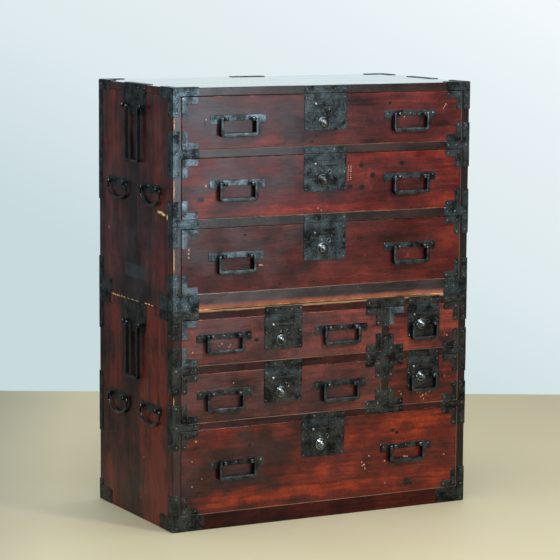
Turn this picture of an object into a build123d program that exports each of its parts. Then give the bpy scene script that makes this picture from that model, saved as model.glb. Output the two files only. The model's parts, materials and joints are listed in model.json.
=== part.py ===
from build123d import *
import os
from collections import namedtuple

# A Japanese clothing chest made as two stacked cases, with eight drawers and forged iron fittings.
# Millimetres.  X runs along the front, Y from the front to the back, Z up.
# The origin is the centre of the footprint, on the floor.

# ---------------------------------------------------------------- driving dimensions
WIDTH = 860.0
DEPTH = 450.0
HEIGHT = 1120.0
SPLIT = 562.0             # height of the seam between the two cases

BOARD = 23.0              # case side panels
RAIL_DEPTH = 25.0         # front rails, front to back
SHELF = 12.0              # dust boards behind the rails
BACK = 10.0               # back panels
TOP_RAIL = 21.0           # top board of the upper case
LOWER_TOP = 22.0          # top board of the lower case
UPPER_PLINTH = 42.0       # deep bottom rail of the upper case
LOWER_PLINTH = 41.0       # bottom rail of the lower case

SIDE_GAP = 1.0            # each side of a drawer front
UNDER_GAP = 0.6
OVER_GAP = 1.6
RECESS = 1.0              # drawer fronts lie behind the rails' faces
FRONT_BOARD = 20.0
DRAWER_SIDE = 12.0
DRAWER_FLOOR = 8.0
DRAWER_LENGTH = 430.0

IRON = 1.5                # thickness of straps and plates
FLOOR_CLEARANCE = 1.0     # irons stop above the floor
STILE_IRON = 17.5         # width of the straps on the case edges
WRAP = 28.0               # how far a front strap turns onto the side
REAR_WRAP = 20.0
NAIL_RADIUS = 2.8
NAIL_RISE = 1.6

BAR = 9.5                 # thickness of the drawer bails
SMALL_BAR = 8.0           # the same of the two small ones
BAIL_DEPTH = 11.0         # how deep they are
LONG_BAR = 5.5            # the long handles are flat bars on edge, this thick and LONG_BAR_DEPTH deep
LONG_BAR_DEPTH = 11.0
LOOP_BAR = 6.0            # thickness of the loop handles, which swell to LOOP_BELLY at the bottom
LOOP_BELLY = 8.5
PIN_RADIUS = 2.5
PIN_CLEARANCE = 0.1
HINGE_REACH = 8.5         # a bail's hinge axis stands this far off the wood
LONG_REACH = 8.5          # hinge axes of the long side handles in front of the case's side
LOOP_REACH = 6.0          # the same of the side loops

SPINDLE_RADIUS = 4.0
SPINDLE_CLEARANCE = 0.1
TONGUE_BITE = 8.0         # how far a latch tongue enters the rail above
TONGUE_WIDTH = 14.0
TONGUE = 3.0
KNOB_SHIFT = -7.0         # the knob stands left of the lock's centre line
KEYHOLE_SHIFT = 12.0      # the keyhole stands right of it

HALF = WIDTH / 2
FRONT = -DEPTH / 2
REAR = DEPTH / 2
INNER = HALF - BOARD      # half the width between the side panels
POST_LEFT = 172.0         # the divider of the lower case
POST_RIGHT = 193.0
DRAWER_FACE = FRONT + RECESS

# A bay is the space for one drawer: its sides and height, and the size and place of its fittings.
# bail_rise is from the middle of the bay up to the bails' hinges, plate_rise from there to the top
# of their plates.
Bay = namedtuple("Bay", "case left right low high lock_width lock_drop knob_drop knob_radius"
                        " bail_shift bail_rise plate_rise")
BAYS = {
    "upper_top": Bay("upper", -INNER, INNER, 966, 1099, 124, 93, 74, 16.5, 250, 8, 10),
    "upper_middle": Bay("upper", -INNER, INNER, 792, 945.5, 124, 95, 66, 16.5, 252, 9.5, 10),
    "upper_bottom": Bay("upper", -INNER, INNER, 604, 769, 124, 95, 66, 16.5, 254, 9, 11),
    "lower_left_top": Bay("lower", -INNER, POST_LEFT, 422, 540, 110, 89, 65, 14, 169, 14, 6.5),
    "lower_left_bottom": Bay("lower", -INNER, POST_LEFT, 276, 402, 110, 89, 61, 14, 167, 7.5, 11),
    "lower_right_top": Bay("lower", POST_RIGHT, INNER, 420, 540, 98, 86, 51, 14, 0, 0, 0),
    "lower_right_bottom": Bay("lower", POST_RIGHT, INNER, 276, 402, 98, 82, 51, 14, 0, 0, 0),
    "lower_base": Bay("lower", -INNER, INNER, 41, 259, 127, 98, 65, 15.5, 250, 18.5, 6),
}
# A rail lies between two drawers.  The latch of the lower one reaches up into it.
Rail = namedtuple("Rail", "case left right low high")
LEFT_RAIL = Rail("lower", -INNER, POST_LEFT, 402, 422)
RIGHT_RAIL = Rail("lower", POST_RIGHT, INNER, 402, 420)
BASE_RAIL = Rail("lower", -INNER, INNER, 259, 276)
RAILS = [Rail("upper", -INNER, INNER, 945.5, 966), Rail("upper", -INNER, INNER, 769, 792),
         LEFT_RAIL, RIGHT_RAIL, BASE_RAIL]

BAIL_HALF = 54.0          # half the outer width of a drawer bail
BAIL_DROP = 45.0          # hinge axis to the lowest edge
POST_SHIFT = 38.0         # bail posts from the bail's centre
POST_HEAD = 6.0
SMALL_BAIL_HALF = 40.5
SMALL_BAIL_DROP = 41.0
SMALL_POST_SHIFT = 27.0
SMALL_POST_HEAD = 4.8
PLATE_LENGTH = 156.0
PLATE_TAB = 27.0          # the deeper tabs at both ends of a bail plate
PLATE_TAB_HEIGHT = 22.0
PLATE_WAIST = 15.0

LONG_HANDLES = {"upper": (39.8, 54.0), "lower": (36.8, 49.0)}   # half width, and its posts outside it
LONG_HANDLE_DROP = 142.0
LONG_PLATE_HALF = 68.0
LONG_PLATE_DROP = 78.0
LONG_HANDLE_BELOW = 56.0  # hinge below the top of its case
LOOP_HALF = 61.0
LOOP_DROP = 47.0
LOOP_BULGE = 10.0         # a loop is widest this far below its hinge
LOOP_POST_SHIFT = 43.0
LOOP_SHIFT = 100.0        # the two loops of one side, from the middle of its depth
LOOP_HEIGHTS = {"upper": 862.0, "lower": 300.0}
CASE_LOW = {"upper": SPLIT, "lower": 0.0}
CASE_HIGH = {"upper": HEIGHT, "lower": SPLIT}
TOP = {"upper": TOP_RAIL, "lower": LOWER_TOP}
PLINTH = {"upper": UPPER_PLINTH, "lower": LOWER_PLINTH}

ARM = 72.0                # strap arms reach this far in from the edge of the case
FOOT_ARM = 87.0           # the same at the foot of the lower case
LEG = 58.0                # strap legs above and below the middle of a rail
TOP_LEG = 71.0
PLINTH_LEG = 94.0
CORNER_SIDE = 76.0        # length of corner plates along the sides
NAIL_INSET = 9.0          # nails from the ends of a strap
DIVIDER_ARM = 58.0        # arms of the fittings on the divider
TOP_BAND = 20.0           # width of the plates on the top board


# ---------------------------------------------------------------- basic shapes
def block(x0, x1, y0, y1, z0, z1):
    """A box between two corners, given in either order."""
    size = abs(x1 - x0), abs(y1 - y0), abs(z1 - z0)
    return Pos((x0 + x1) / 2, (y0 + y1) / 2, (z0 + z1) / 2) * Box(*size)


def rod(radius, start, end):
    """A round bar between two points."""
    a, b = Vector(*start), Vector(*end)
    return Solid.make_cylinder(radius, (b - a).length, Plane(origin=a, z_dir=b - a))


def nail(point, outward):
    """A low domed nail head standing on a plate."""
    sphere_radius = (NAIL_RADIUS**2 + NAIL_RISE**2) / (2 * NAIL_RISE)
    ball = Pos(0, 0, NAIL_RISE - sphere_radius) * Sphere(sphere_radius)
    cap = ball & Pos(0, 0, sphere_radius) * Box(*[2 * sphere_radius] * 3)
    return Plane(origin=point, z_dir=outward).location * cap


def write(name, shapes):
    """Write a node: its pieces stay separate solids."""
    solids = [solid for shape in shapes for solid in shape.solids()]
    export_step(Compound(children=solids), f"parts/{name}.step")


# ---------------------------------------------------------------- irons laid on the faces of a case
def on_front(x0, x1, z0, z1, face=FRONT):
    return block(x0, x1, face - IRON, face, z0, z1)


def on_side(side, y0, y1, z0, z1):
    return block(side * HALF, side * (HALF + IRON), y0, y1, z0, z1)


def on_rear(x0, x1, z0, z1):
    return block(x0, x1, REAR, REAR + IRON, z0, z1)


def on_top(x0, x1, y0, y1):
    return block(x0, x1, y0, y1, HEIGHT, HEIGHT + IRON)


def front_nail(x, z, face=FRONT):
    return nail((x, face - IRON, z), (0, -1, 0))


def side_nail(side, y, z):
    return nail((side * (HALF + IRON), y, z), (side, 0, 0))


def edge_strap(side, z0, z1):
    """A strap on a front edge that turns onto the side."""
    front = on_front(side * (HALF - STILE_IRON), side * (HALF + IRON), z0, z1)
    return front + on_side(side, FRONT, FRONT + WRAP, z0, z1)


def rail_arm(side, length, z0, z1):
    """The arm that runs from an edge strap along a rail."""
    return on_front(side * (HALF - STILE_IRON), side * (HALF - length), z0, z1)


def edge_nails(side, length, arm_z, z0, z1):
    """Nails of one strap: down the stile, along its arm and on the side wrap."""
    stile = side * (HALF - STILE_IRON / 2)
    ends = z0 + NAIL_INSET, z1 - NAIL_INSET
    heads = [front_nail(stile, z) for z in (*ends, (z0 + z1) / 2)]
    heads += [front_nail(side * x, arm_z) for x in (HALF - length + NAIL_INSET, HALF - length / 2 - 4)]
    return heads + [side_nail(side, FRONT + WRAP - NAIL_INSET, z) for z in ends]


def rear_strap(side, z0, z1):
    """A strap round a rear edge."""
    back = on_rear(side * (HALF - STILE_IRON), side * (HALF + IRON), z0, z1)
    return back + on_side(side, REAR - REAR_WRAP, REAR, z0, z1)


def front_straps(side, case):
    """The straps of one front edge: corners at top and bottom, a T at each rail."""
    top, low, plinth = CASE_HIGH[case], CASE_LOW[case], PLINTH[case]
    foot, foot_arm = (low, ARM) if case == "upper" else (low + FLOOR_CLEARANCE, FOOT_ARM)
    corner = edge_strap(side, top - TOP_LEG, top) + rail_arm(side, ARM, top - TOP[case], top)
    corner += on_side(side, FRONT, FRONT + CORNER_SIDE, top - 26, top)
    base = edge_strap(side, foot, low + PLINTH_LEG) + rail_arm(side, foot_arm, foot, low + plinth)
    base += on_side(side, FRONT, FRONT + CORNER_SIDE, foot, low + 38)
    pieces = [corner, base]
    pieces += edge_nails(side, ARM, top - TOP[case] / 2, top - TOP_LEG, top)
    pieces += edge_nails(side, foot_arm, low + plinth / 2, foot, low + PLINTH_LEG)
    for rail in RAILS:
        edge = rail.left if side < 0 else rail.right
        if rail.case == case and abs(edge) == INNER:
            middle = (rail.low + rail.high) / 2
            arm = rail_arm(side, ARM, rail.low, rail.high)
            pieces.append(edge_strap(side, middle - LEG, middle + LEG) + arm)
            pieces += edge_nails(side, ARM, middle, middle - LEG, middle + LEG)
    return pieces


def rear_straps(side, case):
    """Straps and corner plates of one rear edge."""
    top, low = CASE_HIGH[case], CASE_LOW[case]
    foot = low if case == "upper" else low + FLOOR_CLEARANCE
    long_leg, short_leg = (313, 94) if case == "upper" else (98, 56)
    corner = rear_strap(side, top - long_leg, top) + on_side(side, REAR - 70, REAR, top - 24, top)
    base = rear_strap(side, foot, low + short_leg) + on_side(side, REAR - 78, REAR, foot, low + 40)
    pieces = [corner, base]
    if case == "lower":
        pieces.append(rear_strap(side, 188, 348))
    for z in (top - 12, top - long_leg + 12, low + short_leg - 12, low + 16):
        pieces.append(side_nail(side, REAR - 10, z))
    return pieces + [side_nail(side, REAR - 60, z) for z in (top - 12, low + 16)]


def divider_irons():
    """The three fittings where the divider of the lower case meets its rails."""
    middle = (POST_LEFT + POST_RIGHT) / 2
    low_arm, high_arm = middle - DIVIDER_ARM, middle + DIVIDER_ARM
    top = SPLIT - LOWER_TOP
    crown_end, foot_end = top - 56, BASE_RAIL.high + 43
    cross_low, cross_high = LEFT_RAIL.low - 56, LEFT_RAIL.high + 44
    crown = on_front(low_arm, high_arm, top, SPLIT) + on_front(POST_LEFT, POST_RIGHT, crown_end, top)
    cross = on_front(POST_LEFT, POST_RIGHT, cross_low, cross_high)
    cross += on_front(low_arm, POST_LEFT, LEFT_RAIL.low, LEFT_RAIL.high)
    cross += on_front(POST_RIGHT, high_arm, RIGHT_RAIL.low, RIGHT_RAIL.high)
    foot = on_front(low_arm, high_arm, BASE_RAIL.low, BASE_RAIL.high)
    foot += on_front(POST_LEFT, POST_RIGHT, BASE_RAIL.high, foot_end)
    heights = (crown_end + NAIL_INSET, top - 13, cross_high - NAIL_INSET, cross_low + NAIL_INSET,
               (LEFT_RAIL.low + LEFT_RAIL.high) / 2, foot_end - NAIL_INSET)
    pieces = [crown, cross, foot] + [front_nail(middle, z) for z in heights]
    for z_left, z_right in ((top + 11, top + 11), (412, 411), (267.5, 267.5)):
        pieces += [front_nail(low_arm + NAIL_INSET, z_left), front_nail(high_arm - NAIL_INSET, z_right)]
    return pieces


def top_irons():
    """Plates on the top board: corners, handle plates turned over the edge, and one at the back."""
    pieces = []
    front, rear = FRONT - IRON, REAR + IRON
    for side in (-1, 1):
        edge, inside = side * (HALF + IRON), side * (HALF - TOP_BAND)
        pieces.append(on_top(edge, inside, REAR - 68, rear)
                      + on_top(inside, side * 365, REAR - TOP_BAND, rear))
        pieces.append(on_top(edge, inside, front, FRONT + CORNER_SIDE)
                      + on_top(inside, side * (HALF - ARM), front, FRONT + TOP_BAND))
        pieces.append(on_top(edge, inside, -LONG_PLATE_HALF, LONG_PLATE_HALF))
    pieces.append(on_top(-50, 50, REAR - TOP_BAND, rear) + on_rear(-50, 50, HEIGHT - 40, HEIGHT))
    return pieces


# ---------------------------------------------------------------- handles
def local_post(shift, reach, shank, head):
    """A stud with a domed head and a cross hole for the pin, standing on the face y = -IRON."""
    tip = reach + 5
    stud = rod(shank, (shift, -IRON, 0), (shift, -tip, 0))
    ends = shift - 20, shift + 20
    dome = Pos(shift, -tip, 0) * Sphere(head) & block(*ends, -tip, -tip - head * 0.7, -20, 20)
    hole = rod(PIN_RADIUS + PIN_CLEARANCE, (ends[0], -reach, 0), (ends[1], -reach, 0))
    return stud + dome - hole


def local_pins(leg, shift, reach):
    """The turned ends of a bail, as pins from its legs through posts inside or outside them."""
    end = shift - 6 if shift < leg else shift + 6
    left, right = (rod(PIN_RADIUS, (s * leg, -reach, 0), (s * end, -reach, 0)) for s in (-1, 1))
    return left + right


def square_bail(half, drop, shift, reach, bar, depth):
    """A square-cornered bail hanging from its hinge axis, and its end pins."""
    y0, y1 = -reach - depth / 2, -reach + depth / 2
    bail = block(-half, half, y0, y1, -drop, -drop + bar)
    for s in (-1, 1):
        bail += block(s * half, s * (half - bar), y0, y1, -drop + bar, 0)
        bail += rod(depth / 2, (s * half, -reach, 0), (s * (half - bar), -reach, 0))
    return bail + local_pins(half - bar / 2, shift, reach)


def curved_bail(half, drop, shift, reach):
    """A loop handle: a crescent, widest below its hinge and thickest at the bottom."""
    height = drop - LOOP_BULGE
    ring = Ellipse(half, height) - Ellipse(half - LOOP_BAR, height - LOOP_BELLY)
    ring = Pos(0, -LOOP_BULGE) * ring - Pos(0, drop) * Rectangle(4 * half, 2 * drop)
    bail = Pos(0, -reach + LOOP_BAR / 2, 0) * Rot(90, 0, 0) * extrude(ring, LOOP_BAR)
    leg = shift + 12
    for s in (-1, 1):
        bail += rod(LOOP_BAR / 2, (s * (leg - 3), -reach, 0), (s * (leg + 3), -reach, 0))
    return bail + local_pins(leg, shift, reach)


def bail_plate(centre, top, face):
    """The long plate behind a bail: deep tabs joined by a narrow waist, flush along the top."""
    half = PLATE_LENGTH / 2
    plate = on_front(centre - half, centre + half, top - PLATE_WAIST, top, face)
    for s in (-1, 1):
        tab = centre + s * half, centre + s * (half - PLATE_TAB)
        plate += on_front(*tab, top - PLATE_TAB_HEIGHT, top - PLATE_WAIST, face)
    heads = [front_nail(centre + s * (half - 9), top - 8, face) for s in (-1, 1)]
    return [plate, front_nail(centre, top - 8, face)] + heads


def side_place(side, y, z):
    """Carries a handle made at the origin, facing the front, to a side of the case."""
    return Pos(side * HALF, y, z) * Rot(0, 0, side * 90)


def handle_mounts(side, case):
    """Plates and posts of one side: the long handle and both loops."""
    top = CASE_HIGH[case]
    hinge = top - LONG_HANDLE_BELOW
    plate = on_side(side, -LONG_PLATE_HALF, LONG_PLATE_HALF, top - LONG_PLATE_DROP + 7, top)
    plate += on_side(side, -LONG_PLATE_HALF + 7, LONG_PLATE_HALF - 7, top - LONG_PLATE_DROP,
                     top - LONG_PLATE_DROP + 7)
    pieces = [plate]
    pieces += [side_nail(side, s * y, top - z) for s in (-1, 1) for y, z in ((58, 10), (20, 10), (30, 70))]
    for s in (-1, 1):
        post = local_post(s * LONG_HANDLES[case][1], LONG_REACH, 5, 6)
        pieces.append(side_place(side, 0, hinge) * post)
        middle, height = s * LOOP_SHIFT, LOOP_HEIGHTS[case]
        pieces.append(on_side(side, middle - 62, middle + 62, height - 12, height + 12))
        pieces += [side_nail(side, middle + t * 22, height + 5) for t in (-1, 1)]
        for t in (-1, 1):
            loop_post = local_post(t * LOOP_POST_SHIFT, LOOP_REACH, 4.5, 5.5)
            pieces.append(side_place(side, middle, height) * loop_post)
    return pieces


# ---------------------------------------------------------------- drawers
def edges(bay):
    """Left, right, low and high limits of a drawer front in its bay."""
    return bay.left + SIDE_GAP, bay.right - SIDE_GAP, bay.low + UNDER_GAP, bay.high - OVER_GAP


def centre_of(bay):
    return (bay.left + bay.right) / 2


def knob_place(bay):
    return centre_of(bay) + KNOB_SHIFT, edges(bay)[3] - bay.knob_drop


def bail_height(bay):
    if bay.bail_shift == 0:
        return knob_place(bay)[1]
    return (bay.low + bay.high) / 2 + bay.bail_rise


def keyhole(bay, depth):
    """The keyhole's outline cut back from the drawer's face: a round eye over a slot."""
    x, z = centre_of(bay) + KEYHOLE_SHIFT, edges(bay)[3] - 43
    eye = rod(2.4, (x, DRAWER_FACE - 3, z), (x, DRAWER_FACE + depth, z))
    return eye + block(x - 1.2, x + 1.2, DRAWER_FACE - 3, DRAWER_FACE + depth, z - 8, z)


def drawer_wood(bay):
    """Front, two sides, back and floor."""
    left, right, low, high = edges(bay)
    inside = DRAWER_FACE + FRONT_BOARD
    end = DRAWER_FACE + DRAWER_LENGTH
    rim = high - 4
    x, z = knob_place(bay)
    front = block(left, right, DRAWER_FACE, inside, low, high)
    front -= rod(SPINDLE_RADIUS + SPINDLE_CLEARANCE, (x, DRAWER_FACE, z), (x, inside, z))
    front -= keyhole(bay, 9)
    pieces = [front]
    for edge, inner in ((left + 0.5, left + 0.5 + DRAWER_SIDE), (right - 0.5, right - 0.5 - DRAWER_SIDE)):
        pieces.append(block(edge, inner, inside, end, low, rim))
    wall = left + 0.5 + DRAWER_SIDE, right - 0.5 - DRAWER_SIDE
    pieces.append(block(*wall, end - DRAWER_SIDE, end, low + 2 + DRAWER_FLOOR, rim))
    pieces.append(block(*wall, inside, end, low + 2, low + 2 + DRAWER_FLOOR))
    return pieces


def corner_irons(bay):
    """Four L-shaped corner irons, three nails in each."""
    left, right, low, high = edges(bay)
    arm, arm_height, leg, leg_width = 45.5, 18.0, 48.0, 16.0
    pieces = []
    for x, sx in ((left, 1), (right, -1)):
        for z, sz in ((low, 1), (high, -1)):
            iron = on_front(x, x + sx * arm, z, z + sz * arm_height, DRAWER_FACE)
            iron += on_front(x, x + sx * leg_width, z + sz * arm_height, z + sz * leg, DRAWER_FACE)
            pieces.append(iron)
            for dx, dz in ((8, 9), (arm - 7, 9), (8, leg - 7)):
                pieces.append(front_nail(x + sx * dx, z + sz * dz, DRAWER_FACE))
    return pieces


def lock_plate(bay):
    """The lock plate with its raised bar, and its nails."""
    high = edges(bay)[3]
    middle, half = centre_of(bay), bay.lock_width / 2
    low = high - bay.lock_drop
    x, z = knob_place(bay)
    plate = on_front(middle - half, middle + half, low, high, DRAWER_FACE)
    front = DRAWER_FACE - IRON
    plate += block(middle - 30, middle + 30, front - 3, front, high - 28, high - 23)
    plate -= rod(SPINDLE_RADIUS + SPINDLE_CLEARANCE, (x, FRONT - 9, z), (x, FRONT + 9, z))
    plate -= keyhole(bay, 1)
    spots = [(s * (half - 6), dz) for s in (-1, 1) for dz in (10, bay.lock_drop / 2, bay.lock_drop - 6)]
    return [plate] + [front_nail(middle + dx, high - dz, DRAWER_FACE) for dx, dz in spots]


def strike_plate(bay):
    """The plate on the rail over a lock, with a small square hole."""
    key = bay.case, bay.left, bay.high
    above = [rail.high for rail in RAILS if (rail.case, rail.left, rail.low) == key]
    top = above[0] if above else CASE_HIGH[bay.case]
    middle, half = centre_of(bay), bay.lock_width / 2
    height = (bay.high + top) / 2
    plate = on_front(middle - half, middle + half, bay.high + 1, top - 1)
    plate -= block(middle - 1, middle + 5, FRONT - 2, FRONT + 2, height - 2.5, height + 2.5)
    return [plate] + [front_nail(middle + s * x, height) for s in (-1, 1) for x in (half - 7, half / 3 + 5)]


def drawer_bails(bay):
    """Each bail of a drawer as: place, outer half width, drop, post shift, post head."""
    if bay.bail_shift == 0:
        size = SMALL_BAIL_HALF, SMALL_BAIL_DROP, SMALL_POST_SHIFT, SMALL_POST_HEAD
        return {"": (centre_of(bay), *size)}
    size = BAIL_HALF, BAIL_DROP, POST_SHIFT, POST_HEAD
    sides = {"_left": -1, "_right": 1}
    return {word: (centre_of(bay) + s * bay.bail_shift, *size) for word, s in sides.items()}


def drawer_irons(bay):
    """Every fitting fixed to a drawer front."""
    pieces = corner_irons(bay) + lock_plate(bay)
    for x, half, drop, shift, head in drawer_bails(bay).values():
        if bay.bail_shift:
            pieces += bail_plate(x, bail_height(bay) + bay.plate_rise, DRAWER_FACE)
        for s in (-1, 1):
            post = local_post(s * shift, HINGE_REACH, min(4.5, head - 0.9), head)
            pieces.append(Pos(x, DRAWER_FACE, bail_height(bay)) * post)
    return pieces


def knob(bay):
    """A stepped round knob, its spindle and the latch tongue that turns up into the rail."""
    x, z = knob_place(bay)
    face = DRAWER_FACE - IRON - 0.3
    back = DRAWER_FACE + FRONT_BOARD + 0.5
    reach = bay.high - z + TONGUE_BITE
    radius = bay.knob_radius
    profile = make_face(Polyline((0, 0), (radius, 0), (radius, 2), (radius - 4, 5.5),
                                 (6.5, 7), (5.8, 11), (3.5, 13), (0, 13.5), close=True))
    turned = revolve(Plane.XY * profile, Axis.Y)
    cap = Pos(x, face, z) * Rot(180, 0, 0) * turned
    spindle = rod(SPINDLE_RADIUS, (x, face, z), (x, back + TONGUE, z))
    tongue = block(x - 8, x + reach, back, back + TONGUE, z - TONGUE_WIDTH / 2, z + TONGUE_WIDTH / 2)
    return cap + spindle + tongue


def latch_notch(bay):
    """The room a latch tongue needs in the back of the rail above."""
    x, z = knob_place(bay)
    back = FRONT + RAIL_DEPTH
    reach = bay.high - z + TONGUE_BITE
    sweep = (reach**2 - (bay.high - z) ** 2) ** 0.5 + TONGUE_WIDTH / 2
    roof = bay.high + TONGUE_BITE + 2
    return block(x - TONGUE_WIDTH / 2 - 2, x + sweep + 3, back - 6, back, bay.high, roof)


# ---------------------------------------------------------------- cases
def case_sides(case):
    low, high = CASE_LOW[case], CASE_HIGH[case] - TOP[case]
    return [block(s * INNER, s * HALF, FRONT, REAR, low, high) for s in (-1, 1)]


def case_rails(case):
    """Front rails, the bottom rail and, in the lower case, the divider post."""
    low, back = CASE_LOW[case], FRONT + RAIL_DEPTH
    rails = [block(rail.left, rail.right, FRONT, back, rail.low, rail.high)
             for rail in RAILS if rail.case == case]
    rails.append(block(-INNER, INNER, FRONT, back, low, low + PLINTH[case]))
    if case == "lower":
        rails.append(block(POST_LEFT, POST_RIGHT, FRONT, back, BASE_RAIL.high, SPLIT - LOWER_TOP))
    for bay in BAYS.values():
        if bay.case == case:
            rails = [rail - latch_notch(bay) for rail in rails]
    return rails


def case_boards(case):
    """Top board, dust boards, bottom board, two bearers and, in the lower case, the dividing wall."""
    low, high = CASE_LOW[case], CASE_HIGH[case]
    floor = low + PLINTH[case]
    start, end = FRONT + RAIL_DEPTH, REAR - BACK
    lid = block(-HALF, HALF, FRONT, REAR, high - TOP[case], high)
    for bay in BAYS.values():
        if bay.case == case and bay.high == high - TOP[case]:
            lid -= latch_notch(bay)
    boards = [lid, block(-INNER, INNER, start, end, floor - SHELF, floor)]
    for rail in RAILS:
        if rail.case == case:
            boards.append(block(rail.left, rail.right, start, end, rail.high - SHELF, rail.high))
    boards.append(block(-INNER, INNER, end - RAIL_DEPTH, end, low, floor - SHELF))
    boards.append(block(-BOARD, BOARD, start, end - RAIL_DEPTH, low, floor - SHELF))
    if case == "lower":
        boards.append(block(POST_LEFT, POST_RIGHT, start, end, BASE_RAIL.high, SPLIT - LOWER_TOP))
    return boards


def case_back(case):
    return [block(-INNER, INNER, REAR - BACK, REAR, CASE_LOW[case], CASE_HIGH[case] - TOP[case])]


def case_irons(case):
    pieces = []
    for side in (-1, 1):
        pieces += front_straps(side, case) + rear_straps(side, case) + handle_mounts(side, case)
    for bay in BAYS.values():
        if bay.case == case:
            pieces += strike_plate(bay)
    return pieces + (top_irons() if case == "upper" else divider_irons())


# ---------------------------------------------------------------- the nodes
os.makedirs("parts", exist_ok=True)

for case in ("lower", "upper"):
    write(f"{case}_sides", case_sides(case))
    write(f"{case}_rails", case_rails(case))
    write(f"{case}_boards", case_boards(case))
    write(f"{case}_back", case_back(case))
    write(f"{case}_irons", case_irons(case))
    hinge_z = CASE_HIGH[case] - LONG_HANDLE_BELOW
    for word, side in (("left", -1), ("right", 1)):
        half, shift = LONG_HANDLES[case]
        long_handle = square_bail(half, LONG_HANDLE_DROP, shift, LONG_REACH, LONG_BAR, LONG_BAR_DEPTH)
        write(f"{case}_long_handle_{word}", [side_place(side, 0, hinge_z) * long_handle])
        for end, s in (("front", -1), ("rear", 1)):
            loop = curved_bail(LOOP_HALF, LOOP_DROP, LOOP_POST_SHIFT, LOOP_REACH)
            place = side_place(side, s * LOOP_SHIFT, LOOP_HEIGHTS[case])
            write(f"{case}_loop_{word}_{end}", [place * loop])

for name, bay in BAYS.items():
    write(f"drawer_{name}", drawer_wood(bay))
    write(f"irons_{name}", drawer_irons(bay))
    write(f"knob_{name}", [knob(bay)])
    for word, (x, half, drop, shift, head) in drawer_bails(bay).items():
        bar = BAR if bay.bail_shift else SMALL_BAR
        bail = square_bail(half, drop, shift, HINGE_REACH, bar, BAIL_DEPTH)
        write(f"bail_{name}{word}", [Pos(x, DRAWER_FACE, bail_height(bay)) * bail])
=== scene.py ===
import json
import math
import random

import bmesh
import bpy
from mathutils import Matrix, Vector, noise

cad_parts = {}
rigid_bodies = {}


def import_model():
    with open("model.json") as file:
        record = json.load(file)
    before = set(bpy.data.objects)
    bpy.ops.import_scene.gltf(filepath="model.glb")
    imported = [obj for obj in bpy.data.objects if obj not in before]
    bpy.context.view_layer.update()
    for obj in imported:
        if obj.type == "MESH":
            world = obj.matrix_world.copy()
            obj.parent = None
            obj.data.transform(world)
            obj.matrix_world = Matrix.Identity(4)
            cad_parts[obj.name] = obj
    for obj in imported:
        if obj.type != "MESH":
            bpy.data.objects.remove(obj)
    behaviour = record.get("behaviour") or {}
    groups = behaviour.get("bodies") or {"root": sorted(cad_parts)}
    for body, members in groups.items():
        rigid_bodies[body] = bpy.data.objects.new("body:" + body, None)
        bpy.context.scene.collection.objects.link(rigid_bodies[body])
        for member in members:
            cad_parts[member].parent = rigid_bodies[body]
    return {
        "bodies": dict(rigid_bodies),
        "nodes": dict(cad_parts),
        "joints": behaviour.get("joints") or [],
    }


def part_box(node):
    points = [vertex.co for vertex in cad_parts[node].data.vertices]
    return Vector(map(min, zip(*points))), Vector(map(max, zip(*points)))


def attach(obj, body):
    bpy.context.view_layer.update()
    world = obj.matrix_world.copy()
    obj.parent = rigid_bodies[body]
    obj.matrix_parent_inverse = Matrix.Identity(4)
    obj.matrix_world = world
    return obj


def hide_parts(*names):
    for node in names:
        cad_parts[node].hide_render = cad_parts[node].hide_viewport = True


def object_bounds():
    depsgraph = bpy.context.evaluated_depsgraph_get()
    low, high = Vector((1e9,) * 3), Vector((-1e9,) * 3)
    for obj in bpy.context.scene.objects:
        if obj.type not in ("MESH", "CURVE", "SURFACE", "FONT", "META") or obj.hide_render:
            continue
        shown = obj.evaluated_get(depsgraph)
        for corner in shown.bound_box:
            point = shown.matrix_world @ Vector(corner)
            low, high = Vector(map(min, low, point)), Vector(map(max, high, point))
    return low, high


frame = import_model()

# An isho clothing chest: two stacked cases of lacquered softwood with hammered iron fittings.
# Metres, in the frame's own axes: X along the front, Y from front to back, Z up.
CAD_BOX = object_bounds()
MM = 0.001
noise.seed_set(7)                    # so that the unevenness is the same each run

# ---------------------------------------------------------------- sizes, from the frame where it has them
FRONT, REAR = (corner.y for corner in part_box("upper_sides"))
LEFT, RIGHT = (corner.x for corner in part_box("upper_sides"))
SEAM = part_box("upper_sides")[0].z
DRAWER_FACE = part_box("drawer_upper_top")[0].y
HINGES = {joint["child"]: Vector(joint["pos_m"]) for joint in frame["joints"] if joint["type"] == "hinge"}
DRAWERS = sorted(node[len("drawer_"):] for node in frame["nodes"] if node.startswith("drawer_"))
IRON = 1.5 * MM                      # sheet iron
PIN_REACH = 6 * MM                   # how far a pin runs past its stud
BAIL_DEPTH = 11 * MM
WIDE_BAIL = [size * MM for size in (54, 45, 38, 9.5)]        # half width, drop, stud from the middle, bar
SMALL_BAIL = [size * MM for size in (40.5, 41, 27, 8)]
LONG_HANDLES = {"upper": (39.8 * MM, 54 * MM), "lower": (36.8 * MM, 49 * MM)}       # half width, stud
LONG_DROP = 142 * MM
LONG_BAR, LONG_DEPTH = 5.5 * MM, 9.2 * MM                    # the long handles are flat bars on edge
LOOP_HALF, LOOP_DROP, LOOP_STUD = 61 * MM, 47 * MM, 43 * MM
LOOP_BAR, LOOP_DEPTH = 8 * MM, 7 * MM                        # the loops, flatter than they are wide
TONGUE = 3 * MM                      # latch tongues
TONGUE_GAPS = 0.2 * MM, 1.3 * MM     # thinner than its box at the front and the back, so it turns freely
KNOB_REACH = 13.5 * MM               # how far a knob stands out from its foot
KEYHOLE_SHIFT = 12 * MM              # the keyhole's place from the lock's middle and below its top
KEYHOLE_DROP = 43 * MM
CROWN_BAND = 16 * MM                 # the folded band along the top of a lock plate
NAIL_SIZE = 6.2 * MM                 # smaller solids are nails, and thick ones below the next size are studs
STUD_SIZE, STUD_DEPTH = 22 * MM, 8 * MM
SHEET, SHADOW_STRIP, SHEEN_PLATE, SCALY_SHEEN, RUBBED, FLOOR_TINTED = range(6)          # places in the list of irons


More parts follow.
